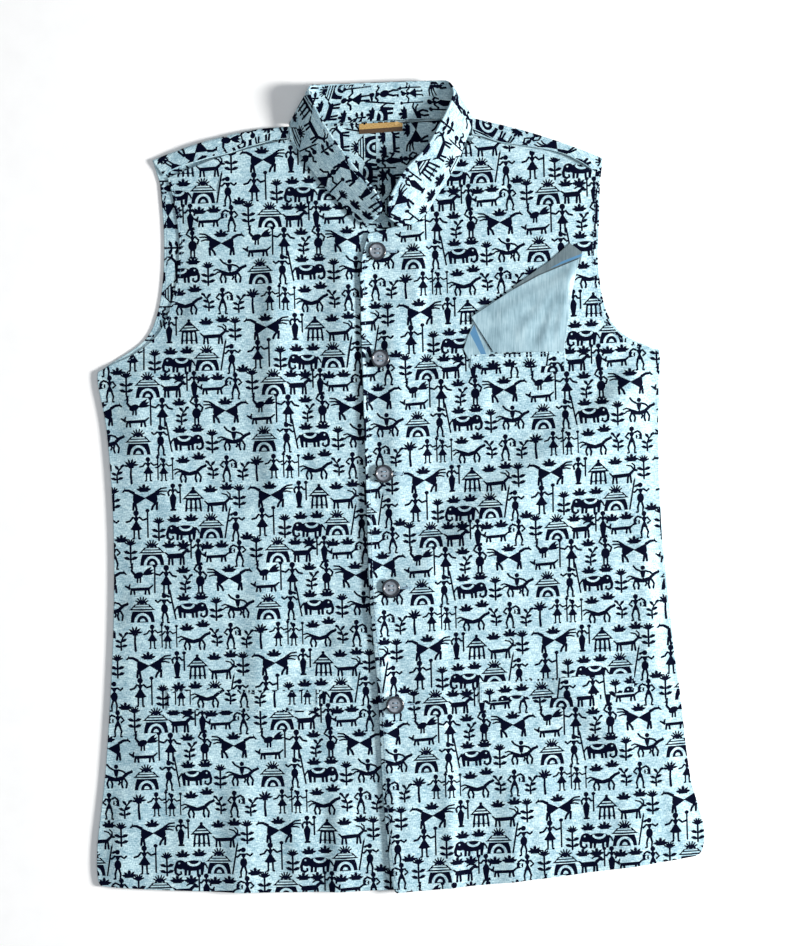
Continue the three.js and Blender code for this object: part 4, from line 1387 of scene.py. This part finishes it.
def welt(name, side, corners):
    outline = corner_loop(corners)
    marks = printed_over(PRINT[name], outline.min(0), outline.max(0))
    lift = (CLOTH + WELT_CLOTH) / 2 + 0.15
    piece = cloth_piece(name + "_cloth", outline, on_front(side, lift), WELT_CLOTH, marks, SILK, 2.6)
    settle_sheet(piece, name, outline)


SQUARE_CREASES = (
    Fold(160, 204, 132, 132, 8, 5, 1.5),
    Fold(156, 200, 112, 140, 9, 6, 1.4),
    Fold(150, 194, 92, 158, 10, 6, 1.2),
    Fold(162, 206, 147, 140, 5, 4, 1.2),
)


def square_surface(lift):
    def surface(points):
        x, y = points.T
        creases = sum(fold_rise(crease, x, y) for crease in SQUARE_CREASES)
        return np.column_stack([points, front_height("left", points) + CLOTH / 2 + lift + creases])
    return surface


def pocket_square():
    """A satin square pulled up to one corner: its near face, the layer behind and a fold.

    The layer behind is the same satin darkened as painted shade, and both it and the fold
    show a stripe of the next layer in a deeper blue.
    """
    near = ((87.5, 125), (153.3, 126), (161.2, 183), (168, 213),
            (130, 197.2), (104, 183), (66.5, 158.2))
    far = ((106, 180), (132, 192), (169, 209), (170.8, 219),
           (159, 227.6), (138.8, 210), (124.4, 200), (106, 187))
    fold = ((64, 119), (89, 121), (70, 153), (64, 142), (59.3, 128))
    far_stripe = area((140, 203.5), (172, 215.8), (172, 218.4), (152, 210.4))
    fold_stripe = area((65.5, 143), (69.5, 151), (83, 118), (78.5, 118))
    # The layer behind gets the darkened satin, which is painted shade.
    square_layer("pocket_square_far", far, 0.8, "pocket_square_far", [far_stripe], SATIN_SHADED)
    square_layer("pocket_square_fold", fold, 0.7, None, [fold_stripe], SATIN)
    square_layer("pocket_square_near", near, 2.1, "pocket_square_near", [], SATIN)


def square_layer(name, corners, lift, node_name, marks, finish):
    outline = corner_loop(corners)
    surface = square_surface(lift)
    piece = cloth_piece(name + "_cloth", outline, surface, SQUARE_CLOTH, marks, finish, 2.6)
    settle_sheet(piece, node_name, outline)


def neck_label():
    outline = corner_loop(LABEL, 1.5)
    (x0, y0), (x1, y1) = LABEL[:2]
    brown = area((x0 - 1, y0 - 1), (x1 + 1, y1 - 1), (x1 + 1, y1 + 4.2), (x0 - 1, y0 + 4.2))
    lift = (0, 0, CLOTH / 2 + SEAM_GAP + LABEL_CLOTH / 2)
    surface = lambda points: back_surface(points) + lift
    piece = cloth_piece("neck_label_cloth", outline, surface, LABEL_CLOTH, [brown], LABEL_WEAVE, 1.5)
    settle_sheet(piece, "neck_label", outline)


front("right", RIGHT_FRONT)
front("left", LEFT_FRONT)
back()
collar()
for welt_name, (welt_side, welt_corners) in WELTS.items():
    welt(welt_name, welt_side, welt_corners)
pocket_square()
neck_label()

# ---------------------------------------------------------------- buttons

HOLE_OFFSET = 2.0
HOLE_RADIUS = 0.95
DISH_FLOOR = 2.3
LATHE_TURNS = 72
# Half of the section through a button, as (radius, height), from the underside's middle.
BUTTON_PROFILE = (
    (0.0, 0.0), (5.6, 0.0), (7.0, 0.1), (7.9, 0.6), (8.4, 1.3), (BUTTON_RADIUS, 1.9),
    (8.35, 2.6), (7.9, 3.15), (7.3, 3.4), (6.7, 3.3), (6.3, 2.95), (6.0, 2.55), (5.6, 2.34),
    (5.0, DISH_FLOOR), (0.0, DISH_FLOOR - 0.1),
)


def lathe(profile, turns):
    """A closed body of revolution from a profile that starts and ends on the axis."""
    points, faces = [(0, 0, profile[0][1])], []
    for radius, z in profile[1:-1]:
        for k in range(turns):
            angle = 2 * math.pi * k / turns
            points.append((radius * math.cos(angle), radius * math.sin(angle), z))
    points.append((0, 0, profile[-1][1]))
    rings = len(profile) - 2
    for k in range(turns):
        n = (k + 1) % turns
        faces.append((0, 1 + n, 1 + k))
        for r in range(rings - 1):
            a, b = 1 + r * turns, 1 + (r + 1) * turns
            faces.append((a + k, a + n, b + n, b + k))
        top = 1 + (rings - 1) * turns
        faces.append((top + k, top + n, len(points) - 1))
    return np.array(points, float), faces


def drilled(points, faces):
    """The body with four holes through it."""
    body = bpy.data.meshes.new("button_body")
    body.from_pydata(points.tolist(), [], faces)
    drill_points, drill_faces = [], []
    ring, ring_faces = lathe(((0, -2), (HOLE_RADIUS, -2), (HOLE_RADIUS, 6), (0, 6)), 20)
    for sx in (1, -1):
        for sy in (1, -1):
            first = len(drill_points) * len(ring)
            drill_faces += [tuple(v + first for v in face) for face in ring_faces]
            drill_points.append(ring + (sx * HOLE_OFFSET, sy * HOLE_OFFSET, 0))
    drill = bpy.data.meshes.new("button_drill")
    drill.from_pydata(np.vstack(drill_points).tolist(), [], drill_faces)
    holder = bpy.data.objects.new("button_body", body)
    cutter = bpy.data.objects.new("button_drill", drill)
    for o in (holder, cutter):
        bpy.context.scene.collection.objects.link(o)
    cut = holder.modifiers.new("holes", "BOOLEAN")
    cut.operation = "DIFFERENCE"
    cut.object = cutter
    result = holder.evaluated_get(bpy.context.evaluated_depsgraph_get()).to_mesh()
    made = np.array([v.co for v in result.vertices]), [tuple(f.vertices) for f in result.polygons]
    for o in (holder, cutter):
        bpy.data.objects.remove(o)
    return made


def seat_height(x, y):
    angles = np.linspace(0, 2 * math.pi, 24, endpoint=False)
    rings = [np.array([(x, y)])]
    for radius in (BUTTON_RADIUS * 0.5, BUTTON_RADIUS * 0.85):
        rings.append(np.stack([x + radius * np.cos(angles), y + radius * np.sin(angles)], 1))
    return front_height("left", np.vstack(rings)).max() + CLOTH / 2 + 0.1


# The thread from hole to hole: shares of the holes' offset, and heights.
THREAD_PATH = ((-1, 1.4), (-0.8, 2.5), (0, 2.75), (0.8, 2.5), (1, 1.4))
RIM_START = 6.1           # radius at which the button's dark rim begins
RIM_BLEND = 0.5


def button(index, x, y, shape):
    points, faces = shape
    seat = seat_height(x, y)
    mesh = mesh_from(f"button_{index}_turned", points + (x, y, seat), faces)
    radius = np.hypot(points[:, 0], points[:, 1])
    wall = smooth((radius - RIM_START) / RIM_BLEND)
    rim = mesh.attributes.new("rim", "FLOAT", "POINT")
    rim.data.foreach_set("value", wall.astype(np.float32))
    mesh.set_sharp_from_angle(angle=math.radians(50))
    piece = finished(f"button_{index}_turned", mesh, BUTTON_PLASTIC)
    settle(piece, f"button_{index}")
    lines = []
    for sy in (1, -1):
        at = [(HOLE_OFFSET * share, y + sy * HOLE_OFFSET, z) for share, z in THREAD_PATH]
        lines.append(np.array([(x + across, along, seat + z) for across, along, z in at]))
    thread = rods(f"button_{index}_thread", lines, 0.42)
    settle(thread, None)


def rods(name, lines, radius, sides=7):
    """Round threads along short lines, joined in one mesh."""
    points, faces = [], []
    for line in lines:
        along = np.gradient(line, axis=0)
        along /= np.linalg.norm(along, axis=1)[:, None]
        side = np.cross(along, (0, 0, 1.0))
        side /= np.maximum(np.linalg.norm(side, axis=1), 1e-6)[:, None]
        up = np.cross(side, along)
        first = len(points)
        taper = np.ones(len(line))
        taper[[0, -1]] = 0.45
        for p, s, u, t in zip(line, side, up, taper):
            for k in range(sides):
                a = 2 * math.pi * k / sides
                points.append(p + (s * math.cos(a) + u * math.sin(a)) * radius * t)
        for r in range(len(line) - 1):
            for k in range(sides):
                n = (k + 1) % sides
                a, b = first + r * sides, first + (r + 1) * sides
                faces.append((a + k, b + k, b + n, a + n))
        faces.append(tuple(first + k for k in range(sides)))
        faces.append(tuple(len(points) - 1 - k for k in range(sides)))
    return finished(name, mesh_from(name, np.array(points), faces), THREAD)


turned = drilled(*lathe(BUTTON_PROFILE, LATHE_TURNS))
for number, (button_x, button_y) in enumerate(BUTTONS, 1):
    button(number, button_x, button_y, turned)

# ---------------------------------------------------------------- stitching

STITCH = 2.6
STITCH_PITCH = 3.6
STITCH_STEP = 0.5         # point distance of the line that a row of stitches follows
# Along one stitch: shares of its length, and heights above the cloth's face.
STITCH_PATH = ((0, -0.25), (0.15, 0.0), (0.5, 0.1), (0.85, 0.0), (1, -0.25))
HOLE_LEFT = -3.0          # ends of a buttonhole, from its button's middle
HOLE_RIGHT = 18.0


def stitch_row(line, surface, lift):
    """Running stitches along a plan line, as short lines just sunk into the cloth."""
    line = spaced(line, STITCH_STEP)
    length = STITCH_STEP * (len(line) - 1)
    shares, heights = np.array(STITCH_PATH).T
    made = []
    for start in np.arange(STITCH_PITCH / 2, length - STITCH_PITCH, STITCH_PITCH):
        at = (start + STITCH * shares) / STITCH_STEP
        rows = np.arange(len(line))
        plan = np.stack([np.interp(at, rows, line[:, k]) for k in (0, 1)], 1)
        place, _, _, normal = bent(surface, plan)
        made.append(place + normal * (lift + heights)[:, None])
    return made


def shifted(line, distance):
    """The line moved sideways, to its left where the distance is positive."""
    along = np.gradient(line, axis=0)
    along /= np.linalg.norm(along, axis=1)[:, None]
    return line + np.stack([-along[:, 1], along[:, 0]], 1) * distance


def between(line, low, high):
    return line[(line[:, 1] > low) & (line[:, 1] < high)]


def edge_stitches():
    half = CLOTH / 2
    rows = []
    right_outer = smooth_line([s[:2] for s in RIGHT_FRONT])
    left_outer = smooth_line([s[:2] for s in LEFT_FRONT])
    closing = smooth_line([s[2:4] for s in LEFT_FRONT if not s.neck])
    rows += stitch_row(shifted(between(right_outer, 112, 290), -3.0), on_front("right"), half)
    rows += stitch_row(shifted(between(left_outer, 131, 294), 3.0), on_front("left"), half)
    rows += stitch_row(shifted(closing, -4.0), on_front("left"), half)
    rows += stitch_row(shifted(smooth_line([s[:2] for s in BACK[8:]]), -3.0), back_surface, half)
    for side, (_, corners) in zip(("left", "right", "left"), WELTS.values()):
        low_left, low_right, high_right, high_left = corners
        top = np.array([high_left, high_right]) + ((2, -2.2), (-2, -2.2))
        left = np.array([low_left, high_left]) + (1.8, 0)
        right = np.array([low_right, high_right]) - (1.8, 0)
        for ends in (top, left, right):
            rows += stitch_row(spaced(ends, 2.0), on_front(side), half + WELT_CLOTH + 0.15)
    round_it = np.linspace(8, COLLAR_ROUND[-1] - 8, 120)
    free = np.column_stack([-round_it, np.interp(round_it, COLLAR_ROUND, COLLAR_RISE) - 4.0])
    for face in (1, -1):
        rows += stitch_row(free, collar_surface, face * COLLAR_CLOTH / 2)
    piece = rods("edge_stitches", rows, 0.24, 6)
    settle(piece, None)


def buttonholes():
    """Each hole is two close rows of thread and a bar at each end, on the left front."""
    lines = []
    for x, y in BUTTONS:
        xs = np.linspace(x + HOLE_LEFT, x + HOLE_RIGHT, 12)
        for dy in (-0.65, 0.65):
            plan = np.column_stack([xs, np.full(12, y + dy)])
            lines.append(on_front("left", CLOTH / 2 + 0.12)(plan))
        for end in (x + HOLE_LEFT, x + HOLE_RIGHT):
            plan = np.column_stack([np.full(4, end), np.linspace(y - 1.3, y + 1.3, 4)])
            lines.append(on_front("left", CLOTH / 2 + 0.2)(plan))
    piece = rods("buttonholes", lines, 0.5, 8)
    settle(piece, None)


edge_stitches()
buttonholes()

# ---------------------------------------------------------------- floor, light and camera

VIEW_DISTANCE = 1.5
SENSOR = 36.0
LENS = 60.7
FRAME_MIDDLE = np.array([0.0, 12.2, 0.0])
FLOOR_HALF = 6.0          # metres
FLOOR_DROP = 0.0004


def floor():
    mesh = bpy.data.meshes.new("floor")
    corners = [(x, y, -FLOOR_DROP) for x, y in ((-1, -1), (1, -1), (1, 1), (-1, 1))]
    corners = [(x * FLOOR_HALF, y * FLOOR_HALF, z) for x, y, z in corners]
    mesh.from_pydata(corners, [], [(0, 1, 2, 3)])
    material, tree, shader = new_material("floor", 0.8, Specular_IOR_Level=0.1)
    place = node(tree, "TexCoord").outputs["Object"]
    grain = noise(tree, place, 40.0, 3.0)
    paper = ramp(tree, grain, (0.3, (0.93, 0.93, 0.93, 1)), (0.7, (0.96, 0.96, 0.96, 1)))
    tree.links.new(paper, shader.inputs["Base Color"])
    finished("floor", mesh, material)


def area_light(name, place, size, power, target=(0, 0, 0), colour=(1, 1, 1)):
    data = bpy.data.lights.new(name, "AREA")
    data.shape = "DISK"
    data.size = size
    data.energy = power
    data.color = colour
    lamp = bpy.data.objects.new(name, data)
    bpy.context.scene.collection.objects.link(lamp)
    lamp.location = place
    lamp.rotation_euler = (Vector(target) - Vector(place)).to_track_quat("-Z", "Y").to_euler()


def studio():
    area_light("window", (2.17, -0.06, 1.12), 0.6, 121.0, colour=(1.0, 0.985, 0.96))
    area_light("ceiling", (0.2, 0.1, 2.4), 2.2, 13.0)
    world = bpy.data.worlds.new("studio")
    bpy.context.scene.world = world
    world.use_nodes = True
    sky = world.node_tree.nodes["Background"]
    sky.inputs["Color"].default_value = (0.86, 0.93, 1.0, 1)
    sky.inputs["Strength"].default_value = 0.29


def camera():
    data = bpy.data.cameras.new("camera")
    data.sensor_width = SENSOR
    data.sensor_fit = "AUTO"
    data.lens = LENS
    made = bpy.data.objects.new("camera", data)
    bpy.context.scene.collection.objects.link(made)
    made.location = (FRAME_MIDDLE + SHIFT) * MM + (0, 0, VIEW_DISTANCE)
    made.rotation_euler = (0, 0, 0)
    bpy.context.scene.camera = made


floor()
studio()
camera()
bpy.context.scene.view_settings.view_transform = "Standard"
